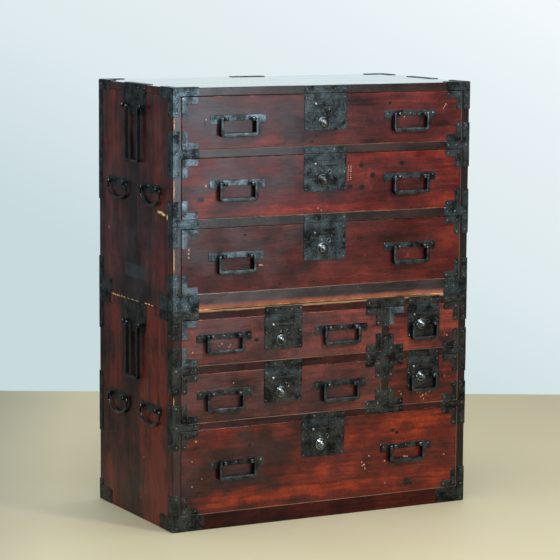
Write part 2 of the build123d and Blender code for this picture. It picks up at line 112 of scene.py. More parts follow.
# ---------------------------------------------------------------- building materials
MATH, VECTOR, RANGE = "ShaderNodeMath", "ShaderNodeVectorMath", "ShaderNodeMapRange"
NOISE, BUMP, SPLIT = "ShaderNodeTexNoise", "ShaderNodeBump", "ShaderNodeSeparateXYZ"
COORDS, ATTRIBUTE = "ShaderNodeTexCoord", "ShaderNodeAttribute"


def linear(hex_colour):
    """An sRGB hex colour as linear RGBA."""
    channels = [int(hex_colour[i:i + 2], 16) / 255 for i in (1, 3, 5)]
    return (*[c / 12.92 if c <= 0.04045 else ((c + 0.055) / 1.055) ** 2.4 for c in channels], 1.0)


def add(tree, kind, inputs=(), out=0, **settings):
    """Adds a node with its settings. inputs maps each input to a value, a hex colour or the socket that
    feeds it. The socket named by out comes back, or the node where out is None."""
    node = tree.nodes.new(kind)
    for name, value in settings.items():
        setattr(node, name, value)
    for key, value in dict(inputs).items():
        if isinstance(value, bpy.types.NodeSocket):
            tree.links.new(value, node.inputs[key])
        else:
            node.inputs[key].default_value = linear(value) if str(value).startswith("#") else value
    return node if out is None else node.outputs[out]


def scale_of(tree, fac, *stops):
    """Colours or grey levels along a scale, each with its place."""
    socket = add(tree, "ShaderNodeValToRGB", {"Fac": fac})
    elements = socket.node.color_ramp.elements
    while len(elements) < len(stops):
        elements.new(0.5)
    for element, (place, colour) in zip(elements, stops):
        element.position = place
        element.color = linear(colour) if isinstance(colour, str) else (colour, colour, colour, 1)
    return socket


def new_material(name):
    """An empty material and its node tree."""
    material = bpy.data.materials.new(name)
    material.use_nodes = True
    material.node_tree.nodes.clear()
    return material, material.node_tree


def finished(material, inputs):
    """Gives a material its shader, with what each of the shader's inputs is."""
    shader = add(material.node_tree, "ShaderNodeBsdfPrincipled", inputs)
    add(material.node_tree, "ShaderNodeOutputMaterial", {"Surface": shader}, out=None)
    return material


def over(tree, base, colour, mask, blend="MIX"):
    """A colour laid over another where the mask is 1."""
    return add(tree, "ShaderNodeMix", {0: mask, 6: base, 7: colour}, out=2, data_type="RGBA",
               blend_type=blend)


def wandering(tree, place, scale, reach, detail=2):
    """A place that a soft noise shifts along each axis, by half the reach on average."""
    shift = add(tree, NOISE, {"Vector": place, "Scale": scale, "Detail": detail}, out="Color")
    return add(tree, VECTOR, {0: shift, 1: (reach, reach, reach), 2: place}, operation="MULTIPLY_ADD")


def board_places(tree, step):
    """A place on the object, and the same shifted for each board, so that no two boards share their grain."""
    place = add(tree, COORDS, out="Object")
    board = add(tree, ATTRIBUTE, out="Fac", attribute_name="board")
    own = add(tree, VECTOR, {0: step, 3: board}, operation="SCALE")
    return place, add(tree, VECTOR, {0: place, 1: own}, operation="ADD")


def edge_distances(tree):
    """How far a point of a board is from the nearest edge of its face and from its nearest end along X, and
    its height above the board's foot, in metres."""
    to_low, to_high = [add(tree, ATTRIBUTE, out="Vector", attribute_name=name)
                       for name in ("to_low", "to_high")]
    near = add(tree, VECTOR, {0: to_low, 1: to_high}, operation="MINIMUM")
    normal = add(tree, "ShaderNodeNewGeometry", out="Normal")
    facing = add(tree, VECTOR, {0: normal}, operation="ABSOLUTE")
    facing = add(tree, VECTOR, {0: facing, 1: (20, 20, 20)}, operation="POWER")
    across = add(tree, SPLIT, {0: add(tree, VECTOR, {0: facing, 1: near}, operation="ADD")}).node.outputs
    nearest = add(tree, MATH, {0: across[0], 1: across[1]}, operation="MINIMUM")
    nearest = add(tree, MATH, {0: nearest, 1: across[2]}, operation="MINIMUM")
    return nearest, across[0], add(tree, SPLIT, {0: to_low}, out=2)


def from_mark(tree, place, mark, reach, face, inward):
    """How far a place is from a mark's middle, where 1 is the mark's outline. A mark is (across, height,
    width, height of the mark) in millimetres, on a face square to Y or X. reach is how far the place
    wanders, and inward how fast a mark ends away from the left side."""
    across, height, width, tall = mark
    wide, high = 2 / (width * MM), 2 / (tall * MM)
    aside, down = -(across * MM + reach / 2) * wide, -(height * MM + reach / 2) * high
    scale, shift = (wide, 0, high), (aside, 0, down)
    if face == "X":
        scale, shift = (inward, wide, high), (-inward * LEFT, aside, down)
    local = add(tree, VECTOR, {0: place, 1: scale, 2: shift}, operation="MULTIPLY_ADD")
    return add(tree, VECTOR, {0: local}, out="Value", operation="LENGTH")


def spots(tree, place, marks, face):
    """A mask of small marks with roughened outlines. Those of a face square to X are on the left."""
    reach, nearest = 4 * MM, 9.0
    rough = wandering(tree, place, 220, reach)
    for mark in marks:
        away = from_mark(tree, rough, mark, reach, face, 5)
        nearest = add(tree, MATH, {0: away, 1: nearest}, operation="MINIMUM")
    return add(tree, RANGE, {0: nearest, 1: 1.2, 2: 0.7})


def soft_patches(tree, place, patches, face):
    """How much lighter or darker soft patches make a face. Each is a mark and its amount."""
    reach, total = 50 * MM, 0.0
    bent = wandering(tree, place, 14, reach, detail=3)
    for *mark, amount in patches:
        away = from_mark(tree, bent, mark, reach, face, 0)
        share = add(tree, RANGE, {0: away, 1: 1.5, 2: 0.4, 4: amount})
        total = add(tree, MATH, {0: share, 1: total}, operation="ADD")
    return total


# ---------------------------------------------------------------- wood
def lacquered_wood(name, colours, along="X", face="Y", streak=14, wear=0.5, edge_width=2.2, veil=0.3,
                   foot_veil=1.0, lean=0.12, shades=(), bands=(), washes=(), knots=(), chips=(), reds=(),
                   bare="#c89c80", label=None, shine=0.3, coat=0.0):
    """Planed softwood under old, thin red-brown lacquer: the grain shows through as soft streaks in cloudy
    red, a pale purple-grey veil lies where it was never rubbed, and the edges are worn through to the pale
    wood. The veil grows towards the left, where it is old haze and also a painted sheen, the grey reflection
    there. streak is the grain's width in millimetres, and foot_veil the share of the veil at the board's
    foot.
    lean brightens the board to the right, shades are soft patches, lighter or darker, and bands darken or
    lighten it along its depth. The dark patches round the bails are grime and painted shade. washes are
    colours worn in from a height on, in millimetres from the seam, each with how ragged it is and its share.
    knots are dark, chips are bare wood and reds are scratches. label is the place of a patch left bare by an
    old paper label."""
    dark, middle, bright, worn = colours
    material, tree = new_material(name)
    place, shifted = board_places(tree, (3.1, 7.3, 5.7))
    at = add(tree, SPLIT, {0: place}, out=None).outputs
    bent = wandering(tree, shifted, 6, 25 * MM)
    long, fine = 1 / (220 * MM), 1 / (streak * MM)
    grain = (long, fine, fine) if along == "X" else (fine, fine, long)
    fibre = tuple(4 * part for part in grain)
    cloud = (6, 11, 11) if along == "X" else (12, 12, 5)
    layers = []
    for point, stretch, detail in ((bent, grain, 3), (bent, fibre, 3), (shifted, cloud, 4)):
        stretched = add(tree, VECTOR, {0: point, 1: stretch}, operation="MULTIPLY")
        layers.append(add(tree, NOISE, {"Vector": stretched, "Scale": 1, "Detail": detail}))
    streaks, fibres, clouds = layers
    patches = add(tree, NOISE, {"Vector": shifted, "Scale": 24, "Detail": 3})
    specks = add(tree, NOISE, {"Vector": shifted, "Scale": 210, "Detail": 2, "Roughness": 0.7})

    tone = -0.1
    for layer, share in ((streaks, 0.35), (clouds, 0.55), (patches, 0.3), (at[0], lean)):
        tone = add(tree, MATH, {0: layer, 1: share, 2: tone}, operation="MULTIPLY_ADD")
    # Soft patches: wear and grime, and round the bails also a painted shade.
    if shades:
        tone = add(tree, MATH, {0: soft_patches(tree, place, shades, face), 1: tone}, operation="ADD")
    if bands:
        depth = add(tree, RANGE, {0: at[1], 1: FRONT, 2: REAR})
        tone = add(tree, MATH, {0: scale_of(tree, depth, *bands), 1: tone}, operation="ADD")
        tone = add(tree, MATH, {0: tone, 1: 0.5}, operation="SUBTRACT")
    colour = scale_of(tree, tone, (0.40, dark), (0.55, middle), (0.68, bright))
    pores = scale_of(tree, fibres, (0.36, 0.70), (0.60, 1.04))
    colour = over(tree, colour, pores, 0.7, "MULTIPLY")
    grit = scale_of(tree, specks, (0.36, 0.66), (0.52, 0.98), (0.66, 1.25))
    colour = over(tree, colour, grit, 0.75, "MULTIPLY")

    haze = add(tree, NOISE, {"Vector": shifted, "Scale": 13, "Detail": 4})
    nearest, from_end, above_foot = edge_distances(tree)
    veil_with_painted_sheen = add(tree, RANGE, {0: haze, 1: 0.42, 2: 0.60, 4: veil})
    # Stronger to the left: there the veil also paints the grey sheen that the lacquer reflects.
    for share in (add(tree, RANGE, {0: at[0], 1: 0.15, 2: -0.35, 3: 0.2, 4: 1.0}),
                  add(tree, RANGE, {0: above_foot, 1: 15 * MM, 2: 75 * MM, 3: foot_veil}),
                  add(tree, RANGE, {0: fibres, 1: 0.35, 2: 0.65, 3: 0.45, 4: 1.3})):
        veil_with_painted_sheen = add(tree, MATH, {0: veil_with_painted_sheen, 1: share}, operation="MULTIPLY", use_clamp=True)
    colour = over(tree, colour, "#5a4a50", veil_with_painted_sheen)

    broken = add(tree, NOISE, {"Vector": shifted, "Scale": 22, "Detail": 4, "Roughness": 0.7})
    reach = add(tree, RANGE, {0: broken, 1: 0.62 - 0.3 * wear, 2: 0.78 - 0.2 * wear, 3: 0.2, 4: edge_width})
    ratio = add(tree, MATH, {0: nearest, 1: reach}, operation="DIVIDE")
    rubbed = add(tree, RANGE, {0: ratio, 1: 1.1 * MM, 2: 0.6 * MM, 4: min(1, 0.35 + wear)})
    for share in (add(tree, RANGE, {0: haze, 1: 0.58 - 0.25 * wear, 2: 0.64 - 0.25 * wear}),
                  add(tree, RANGE, {0: from_end, 1: 3 * MM, 2: 6 * MM, 3: 0.35})):
        rubbed = add(tree, MATH, {0: rubbed, 1: share}, operation="MULTIPLY")
    colour = over(tree, colour, worn, rubbed)
    for tint, raggedness, start, full, share in washes:
        ragged = add(tree, MATH, {0: broken, 1: raggedness * MM, 2: at[2]}, operation="MULTIPLY_ADD")
        rubbed_in = add(tree, RANGE, {0: ragged, 1: SEAM + start * MM, 2: SEAM + full * MM, 4: share})
        colour = over(tree, colour, tint, rubbed_in)
    if label:
        local = add(tree, VECTOR, {0: place, 1: label[0]}, operation="SUBTRACT")
        local = add(tree, VECTOR, {0: local}, operation="ABSOLUTE")
        local = add(tree, VECTOR, {0: local, 1: label[1]}, operation="DIVIDE")
        local = add(tree, SPLIT, {0: local}, out=None).outputs
        reach = add(tree, MATH, {0: local[1], 1: local[2]}, operation="MAXIMUM")
        reach = add(tree, MATH, {0: local[0], 1: reach}, operation="MAXIMUM")
        faded = add(tree, RANGE, {0: broken, 1: 0.3, 2: 0.6, 3: 0.35, 4: 0.9})
        pasted = add(tree, RANGE, {0: reach, 1: 1.04, 2: 0.96, 4: faded})
        colour = over(tree, colour, "#363c42", pasted)
    for tint, marks in (("#140a0a", knots), (bare, chips), ("#8e2c20", reds)):
        if marks:
            colour = over(tree, colour, tint, spots(tree, place, marks, face))

    gloss = add(tree, RANGE, {0: clouds, 1: 0.3, 2: 0.7, 3: 0.22, 4: 0.32})
    gloss = add(tree, MATH, {0: rubbed, 1: 0.25, 2: gloss}, operation="MULTIPLY_ADD")
    relief = add(tree, MATH, {0: specks, 1: 0.25, 2: fibres}, operation="MULTIPLY_ADD")
    bump = add(tree, BUMP, {"Height": relief, "Strength": 0.3, "Distance": 0.35 * MM})
    return finished(material, {"Base Color": colour, "Roughness": gloss, "Specular IOR Level": shine,
                               "Coat Weight": coat, "Coat Roughness": 0.12, "Normal": bump})


def bare_wood(name, pale, brown, along="X"):
    """Unlacquered softwood inside the chest: pale, with darker growth lines and no gloss."""
    material, tree = new_material(name)
    _, shifted = board_places(tree, (2.3, 4.9, 6.1))
    ring_gap = 1 / (9 * MM)
    grain = [2 if axis == along else ring_gap for axis in "XYZ"]
    stretched = add(tree, VECTOR, {0: shifted, 1: grain}, operation="MULTIPLY")
    rings = add(tree, NOISE, {"Vector": stretched, "Scale": 1, "Detail": 4, "Roughness": 0.6})
    clouds = add(tree, NOISE, {"Vector": shifted, "Scale": 5, "Detail": 3})
    tone = add(tree, MATH, {0: clouds, 1: 0.4, 2: rings}, operation="MULTIPLY_ADD")
    colour = scale_of(tree, tone, (0.48, brown), (0.78, pale))
    bump = add(tree, BUMP, {"Height": rings, "Strength": 0.3, "Distance": 0.4 * MM})
    return finished(material, {"Base Color": colour, "Roughness": 0.7, "Normal": bump})


# ---------------------------------------------------------------- iron
def hammered_iron(name, dark, light, rim, dent=9, depth=0.35, gloss=0.42, fleck=0.7):
    """Sheet or bar iron, forged black and oiled: shallow hammer dents, grey scale rubbed to bright flecks,
    brown rust in the hollows, and rims rubbed to grey metal. dent and depth are in millimetres."""
    material, tree = new_material(name)
    place = add(tree, COORDS, out="Object")
    bent = wandering(tree, place, 90, 4 * MM)
    dents = add(tree, "ShaderNodeTexVoronoi", {"Vector": bent, "Scale": 1 / (dent * MM), "Smoothness": 0.6},
                feature="SMOOTH_F1")
    grains = add(tree, NOISE, {"Vector": place, "Scale": 230, "Detail": 3, "Roughness": 0.65})
    patches = add(tree, NOISE, {"Vector": place, "Scale": 42, "Detail": 3})
    tone = add(tree, MATH, {0: grains, 1: 0.5, 2: -0.1}, operation="MULTIPLY_ADD")
    tone = add(tree, MATH, {0: patches, 1: 0.7, 2: tone}, operation="MULTIPLY_ADD")
    colour = scale_of(tree, tone, (0.38, dark), (0.66, light))
    rust = add(tree, NOISE, {"Vector": place, "Scale": 38, "Detail": 5, "Roughness": 0.7})
    colour = over(tree, colour, "#2c2120", add(tree, RANGE, {0: rust, 1: 0.58, 2: 0.72, 4: 0.5}))
    rubbed = add(tree, ATTRIBUTE, out="Fac", attribute_name="rim")
    worn = add(tree, RANGE, {0: patches, 1: 0.40, 2: 0.58, 3: 0.25, 4: 1.0})
    rubbed = add(tree, MATH, {0: rubbed, 1: worn}, operation="MULTIPLY")
    flecks = add(tree, RANGE, {0: grains, 1: 0.65, 2: 0.73, 4: fleck})
    rubbed = add(tree, MATH, {0: rubbed, 1: flecks}, operation="MAXIMUM")
    rough = add(tree, RANGE, {0: tone, 1: 0.35, 2: 0.7, 3: gloss + 0.12, 4: gloss - 0.06})
    height = add(tree, MATH, {0: grains, 1: 0.2, 2: dents}, operation="MULTIPLY_ADD")
    bump = add(tree, BUMP, {"Height": height, "Strength": 1.0, "Distance": depth * MM})
    return finished(material, {"Base Color": over(tree, colour, rim, rubbed), "Metallic": 0.85,
                               "Roughness": rough, "Normal": bump})


# ---------------------------------------------------------------- solids taken from the frame
def merged(faces):
    """One solid's triangles as a mesh, with its doubles merged and its flat faces joined."""
    solid = bmesh.new()
    for corners in faces:
        solid.faces.new([solid.verts.new(co) for co in corners])
    bmesh.ops.remove_doubles(solid, verts=solid.verts, dist=2e-6)
    bmesh.ops.dissolve_limit(solid, angle_limit=math.radians(0.5), verts=solid.verts, edges=solid.edges)
    return solid


def solids(node):
    """A CAD node's solids, each as a mesh of its own. A new solid starts where the last one closes."""
    mesh = frame["nodes"][node].data
    keys = [tuple(round(c * 1e7) for c in vert.co) for vert in mesh.vertices]
    found, faces, open_edges = [], [], set()
    for polygon in mesh.polygons:
        corners = [keys[i] for i in polygon.vertices]
        for edge in zip(corners, corners[1:] + corners[:1]):
            if edge[0] == edge[1]:
                continue
            if edge[::-1] in open_edges:
                open_edges.remove(edge[::-1])
            else:
                open_edges.add(edge)
        faces.append([mesh.vertices[i].co for i in polygon.vertices])
        if not open_edges:
            found.append(merged(faces))
            faces = []
    return found


def extent(solid):
    """Lowest and highest corner of a solid."""
    places = [vert.co for vert in solid.verts]
    return (Vector([min(co[i] for co in places) for i in range(3)]),
            Vector([max(co[i] for co in places) for i in range(3)]))


def sharp_edges(solid, shortest, longest=9.0):
    """Edges between faces that meet at an angle, of a length between two limits."""
    return [edge for edge in solid.edges
            if shortest < edge.calc_length() < longest and edge.calc_face_angle(0) > math.radians(40)]


def round_over(solid, edges, width, segments):
    """Rounds edges, and gives back the new faces."""
    return bmesh.ops.bevel(solid, geom=edges, offset=width, segments=segments, profile=0.5, affect="EDGES",
                           clamp_overlap=False)["faces"]


def sliced(solid, axis, places):
    """Cuts a solid's faces along planes square to an axis, so that it can bend there."""
    for place in places:
        point, normal = Vector((0, 0, 0)), Vector((0, 0, 0))
        point[axis], normal[axis] = place, 1
        whole = solid.verts[:] + solid.edges[:] + solid.faces[:]
        bmesh.ops.bisect_plane(solid, geom=whole, dist=1e-6, plane_co=point, plane_no=normal)


def steps(low, high, step):
    """Places between two limits, a step apart."""
    count = int((high - low) / step)
    return [low + (high - low) * i / (count + 1) for i in range(1, count + 1)]


def drift(solid, axes, reach, pitch):
    """Hand-made unevenness: moves every point a little along some axes, and never out of the CAD box."""
    for vert in solid.verts:
        wave = noise.noise_vector(vert.co / pitch)
        for axis in axes:
            vert.co[axis] += wave[axis] * reach
            vert.co[axis] = min(max(vert.co[axis], CAD_BOX[0][axis]), CAD_BOX[1][axis])


def gathered(parts):
    """Several meshes as one, with their attributes and materials."""
    whole = bmesh.new()
    for part in parts:
        mesh = part
        if isinstance(part, bmesh.types.BMesh):
            mesh = bpy.data.meshes.new("part")
            part.to_mesh(mesh)
            part.free()
        whole.from_mesh(mesh)
        bpy.data.meshes.remove(mesh)
    return whole


def piece(name, body, mesh, materials, slot, *nodes):
    """A finished mesh becomes a piece that rides on a body and stands for CAD nodes."""
    if isinstance(mesh, bmesh.types.BMesh):
        made = bpy.data.meshes.new(name)
        mesh.to_mesh(made)
        mesh.free()
        for material in materials:
            made.materials.append(material)
        mesh = made
    obj = bpy.data.objects.new(name, mesh)
    bpy.context.scene.collection.objects.link(obj)
    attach(obj, body)
    if nodes:
        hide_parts(*nodes)
    return obj


def block(low, high):
    """A plain block between two corners, to be rounded and worn."""
    solid = bmesh.new()
    bmesh.ops.create_cube(solid, size=1, matrix=Matrix.Translation((low + high) / 2)
                          @ Matrix.Diagonal((*(high - low), 1)))
    return solid


# ---------------------------------------------------------------- boards
def aged_board(solid, rng, round_off, lip=None):
    """A board with rounded edges that wanders by a fraction of a millimetre, as old hand-planed wood."""
    low, high = extent(solid)
    size = high - low
    axis = max(range(3), key=lambda i: size[i])
    round_over(solid, sharp_edges(solid, 9 * MM), round_off, 2)
    sliced(solid, axis, steps(low[axis], high[axis], 35 * MM))
    if lip:
        lip(solid)
    to_low = solid.verts.layers.float_vector.new("to_low")
    to_high = solid.verts.layers.float_vector.new("to_high")
    board = solid.verts.layers.float.new("board")
    number = rng.random()
    for vert in solid.verts:
        vert[to_low], vert[to_high] = vert.co - low, high - vert.co
        vert[board] = number
    drift(solid, [i for i in range(3) if i != axis], 0.35 * MM, 110 * MM)


def boards(name, body, node, choose, materials, slot, round_off=1 * MM, lips=()):
    """All boards of a CAD node as one piece. choose(low, high, normal, centre) picks a face's material."""
    rng = random.Random(name)
    parts = []
    for number, solid in enumerate(solids(node)):
        low, high = extent(solid)
        aged_board(solid, rng, round_off, dict(lips).get(number))
        for face in solid.faces:
            face.normal_update()
            face.material_index = choose(low, high, face.normal, face.calc_center_median())
        parts.append(solid)
    return piece(name, body, gathered(parts), materials, slot, node)


PLINTH = 2                           # the bottom rail's place among the upper case's rails


def plinth_lip(solid):
    """The lower edge of the upper case's bottom rail, worn round by hands lifting the case."""
    sliced(solid, 2, [SEAM + height * MM for height in (1, 2.2, 4, 6.5, 9.5, 13, 17)])
    for vert in solid.verts:
        height, aside = vert.co.z - SEAM, abs(vert.co.x)
        radius = (12 + 3 * noise.noise(vert.co * 14)) * MM
        radius *= min(1, max(0, (345 * MM - aside) / (40 * MM)))
        if vert.co.y < FRONT + 3 * MM and height < radius:
            vert.co.y += 0.75 * (radius - math.sqrt(radius ** 2 - (radius - height) ** 2))


# ---------------------------------------------------------------- things grown by Geometry Nodes
def growing_tree(name, inputs):
    """An empty Geometry Nodes tree with named inputs, a material among them, and its input and output."""
    tree = bpy.data.node_groups.new(name, "GeometryNodeTree")
    tree.interface.new_socket("Geometry", in_out="INPUT", socket_type="NodeSocketGeometry")
    for label, kind in {**inputs, "Material": "Material"}.items():
        tree.interface.new_socket(label, in_out="INPUT", socket_type=f"NodeSocket{kind}")
    tree.interface.new_socket("Geometry", in_out="OUTPUT", socket_type="NodeSocketGeometry")
    given = add(tree, "NodeGroupInput").node.outputs
    return tree, given, add(tree, "NodeGroupOutput", out=None)


def end_tree(tree, mesh, given, result):
    """Makes a tree's result real and smooth, and gives it its material."""
    mesh = add(tree, "GeometryNodeRealizeInstances", {"Geometry": mesh})
    mesh = add(tree, "GeometryNodeSetShadeSmooth", {"Geometry": mesh})
    mesh = add(tree, "GeometryNodeSetMaterial", {"Geometry": mesh, "Material": given["Material"]})
    tree.links.new(mesh, result.inputs["Geometry"])
    return tree


def nail_tree():
    """Hand-forged nail heads, one on each point, turned to its outward direction."""
    tree, given, result = growing_tree("nail_heads", {"Radius": "Float", "Flatness": "Float", "Seed": "Int"})
    ball = add(tree, "GeometryNodeMeshUVSphere", {"Segments": 10, "Rings": 6, "Radius": given["Radius"]})
    squash = add(tree, "ShaderNodeCombineXYZ", {0: 1.0, 1: 1.0, 2: given["Flatness"]})
    head = add(tree, "GeometryNodeTransform", {"Geometry": ball, "Scale": squash})
    outward = add(tree, "GeometryNodeInputNamedAttribute", {"Name": "outward"}, data_type="FLOAT_VECTOR")
    facing = add(tree, "FunctionNodeAlignRotationToVector", {2: outward}, axis="Z")
    size = add(tree, "FunctionNodeRandomValue", {2: 0.82, 3: 1.0, 8: given["Seed"]}, out=1, data_type="FLOAT")
    heads = add(tree, "GeometryNodeInstanceOnPoints", {"Points": given["Geometry"], "Instance": head,
                                                       "Rotation": facing, "Scale": size})
    return end_tree(tree, heads, given, result)


def bar_tree():
    """A hand-forged bar swept along a path of points. Each point's girth is relative to the bar's."""
    tree, given, result = growing_tree("forged_bar", {"Bar": "Float", "Depth": "Float", "Rounding": "Float",
                                                      "Unevenness": "Float"})
    path = add(tree, "GeometryNodeMeshToCurve", {"Mesh": given["Geometry"]})
    section = add(tree, "GeometryNodeCurvePrimitiveQuadrilateral", {"Width": given["Depth"],
                                                                    "Height": given["Bar"]})
    section = add(tree, "GeometryNodeFilletCurve", {"Curve": section, "Count": 2, "Radius": given["Rounding"],
                                                    "Limit Radius": True}, mode="POLY")
    girth = add(tree, "GeometryNodeInputNamedAttribute", {"Name": "girth"}, data_type="FLOAT")
    bar = add(tree, "GeometryNodeCurveToMesh", {"Curve": path, "Profile Curve": section, "Scale": girth,
                                                "Fill Caps": True})
    place = add(tree, "GeometryNodeInputPosition")
    wave = add(tree, NOISE, {"Vector": place, "Scale": 85, "Detail": 1}, out="Color")
    wave = add(tree, VECTOR, {0: wave, 1: (0.5, 0.5, 0.5)}, operation="SUBTRACT")
    wave = add(tree, VECTOR, {0: wave, 3: given["Unevenness"]}, operation="SCALE")
    bar = add(tree, "GeometryNodeSetPosition", {"Geometry": bar, "Offset": wave})
    return end_tree(tree, bar, given, result)


def grown(seeds, tree, sizes):
    """The plain mesh that a tree grows from a seed mesh with the given sizes."""
    obj = bpy.data.objects.new("seeds", seeds)
    bpy.context.scene.collection.objects.link(obj)
    grow = obj.modifiers.new("grow", "NODES")
    grow.node_group = tree
    for item in tree.interface.items_tree:
        if item.in_out == "INPUT" and item.name in sizes:
            grow[item.identifier] = sizes[item.name]
    evaluated = obj.evaluated_get(bpy.context.evaluated_depsgraph_get())
    mesh = bpy.data.meshes.new_from_object(evaluated)
    obj.modifiers.remove(grow)
    bpy.data.objects.remove(obj)
    bpy.data.meshes.remove(seeds)
    return mesh


def seed_mesh(points, attribute, kind, values, edges=()):
    """Points, and the edges of a path, with one attribute."""
    mesh = bpy.data.meshes.new("seeds")
    mesh.from_pydata([tuple(point) for point in points], edges, [])
    layer = mesh.attributes.new(attribute, kind, "POINT")
    for item, value in zip(layer.data, values):
        setattr(item, "vector" if kind == "FLOAT_VECTOR" else "value", value)
    return mesh


# ---------------------------------------------------------------- ironwork
def cut_plate(solid):
    """A plate cut with shears from sheet iron: clipped corners, filed rims, edges not quite straight."""
    solid.normal_update()
    corners = [edge for edge in sharp_edges(solid, 0.5 * MM, IRON + 0.1 * MM)
               if edge.is_convex and all(other.calc_length() > 6.5 * MM for vert in edge.verts
                                         for other in vert.link_edges if other is not edge)]
    low, high = extent(solid)
    large = sorted(high - low)[1] > 80 * MM
    round_over(solid, corners, (5.5 if large else 3.2) * MM, 3)
    rims = set(round_over(solid, sharp_edges(solid, 0.9 * MM), 0.7 * MM, 1))
    rim = solid.faces.layers.float.new("rim")
    for face in rims:
        if face.is_valid:
            face[rim] = 1
    for axis in range(3):
        sliced(solid, axis, steps(low[axis], high[axis], 13 * MM))
    drift(solid, range(3), 0.35 * MM, 24 * MM)
    return solid


def plate_finish(body, low, high, plain):
    """The irons of a plate's front and of its other faces."""
    # The upper case's left straps take the scaly iron, lighter than the sheet iron, which also paints the
    # sheen on the left.
    if body == "upper_case" and high.x < LEFT + 110 * MM:
        return SCALY_SHEEN, SCALY_SHEEN if low.y < FRONT else plain
    # Plates on the left of the upper drawers and some corner irons take the smoother, lighter iron, whose
    # light colour is a painted sheen.
    thin = body.startswith("drawer_upper") and high.x < -100 * MM
    if body == "drawer_lower_left_top":
        thin = high.x < LEFT + 130 * MM
    if body == "drawer_lower_right_top":
        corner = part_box(body)
        thin = low.x < corner[0].x + 8 * MM and high.z > corner[1].z - 8 * MM
    return SHEEN_PLATE if thin else plain, plain


def ironwork(name, body, node, extra=lambda plates: []):
    """Everything nailed to a body: its plates, studs and nails."""
    plates, studs, nails = [], [], []
    for solid in solids(node):
        low, high = extent(solid)
        size = high - low
        if max(size) < NAIL_SIZE:
            middle = (low + high) / 2
            thin = min(range(3), key=lambda i: size[i])
            outward = Vector((0, 0, 0))
            outward[thin] = -1 if thin == 1 or middle.x < 0 else 1
            nails.append((middle - outward * size[thin] / 2, outward))
            solid.free()
        elif max(size) < STUD_SIZE and min(size) > STUD_DEPTH:
            studs.append(solid)
        else:
            plates.append(solid)
    extras = extra([extent(solid) for solid in plates])
    # On the lower case and its drawers the iron is a neutral grey copy: a painted reflection of the warm
    # floor.
    plain = FLOOR_TINTED if "lower" in body else SHEET
    for solid in plates:
        front, others = plate_finish(body, *extent(solid), plain)
        for face in solid.faces:
            face.normal_update()
            face.material_index = front if face.normal.y < -0.5 else others
    for solid in studs:
        for face in solid.faces:
            face.smooth = True
            face.material_index = RUBBED if body.startswith("drawer") else plain
    parts = [cut_plate(solid) for solid in plates] + studs + extras
    for part in studs + extras:
        if not part.faces.layers.float.get("rim"):
            part.faces.layers.float.new("rim")
    piece(name, body, gathered(parts), IRONS, "iron_fittings", node)
    seeds = seed_mesh([place for place, _ in nails], "outward", "FLOAT_VECTOR", [way for _, way in nails])
    heads = grown(seeds, NAIL_TREE, {"Radius": 2.6 * MM, "Flatness": 0.57, "Seed": 7, "Material": NAIL_IRON})
    piece(f"{name}_nails", body, heads, [], "iron_fittings")


def turned(middle, rows, turns, tall=1.0, closed=False):
    """A shape turned round an axis along Y, and its rings of points. Each row is a radius and a place along
    the axis, and a closed shape joins its last ring to its first."""
    solid = bmesh.new()
    rings = [[solid.verts.new(middle + Vector((math.cos(a) * radius, along, math.sin(a) * radius * tall)))
              for a in (math.tau * i / turns for i in range(turns))] for radius, along in rows]
    for inner, outer in zip(rings, rings[1:] + rings[:int(closed)]):
        for i in range(turns):
            j = (i + 1) % turns
            solid.faces.new([inner[i], inner[j], outer[j], outer[i]])
    return solid, rings


def turned_ring(middle, radius, tall):
    """A small raised ring on a lock plate. tall is its height over its width."""
    rows = [(radius - 2.2 * MM, 0.3 * MM), (radius - 2 * MM, -1 * MM), (radius - 0.8 * MM, -1.6 * MM),
            (radius, 0.2 * MM)]
    ring, _ = turned(middle, rows, 20, tall, closed=True)
    bmesh.ops.recalc_face_normals(ring, faces=ring.faces)
    # Rubbed light, which also paints the ring's highlight.
    return shown(ring, 0.4)


def shown(solid, worn, material=SHEET, smooth=True):
    """A small solid whose faces all have the same wear and material."""
    rim = solid.faces.layers.float.new("rim")
    for face in solid.faces:
        face[rim], face.material_index, face.smooth = worn, material, smooth
    return solid


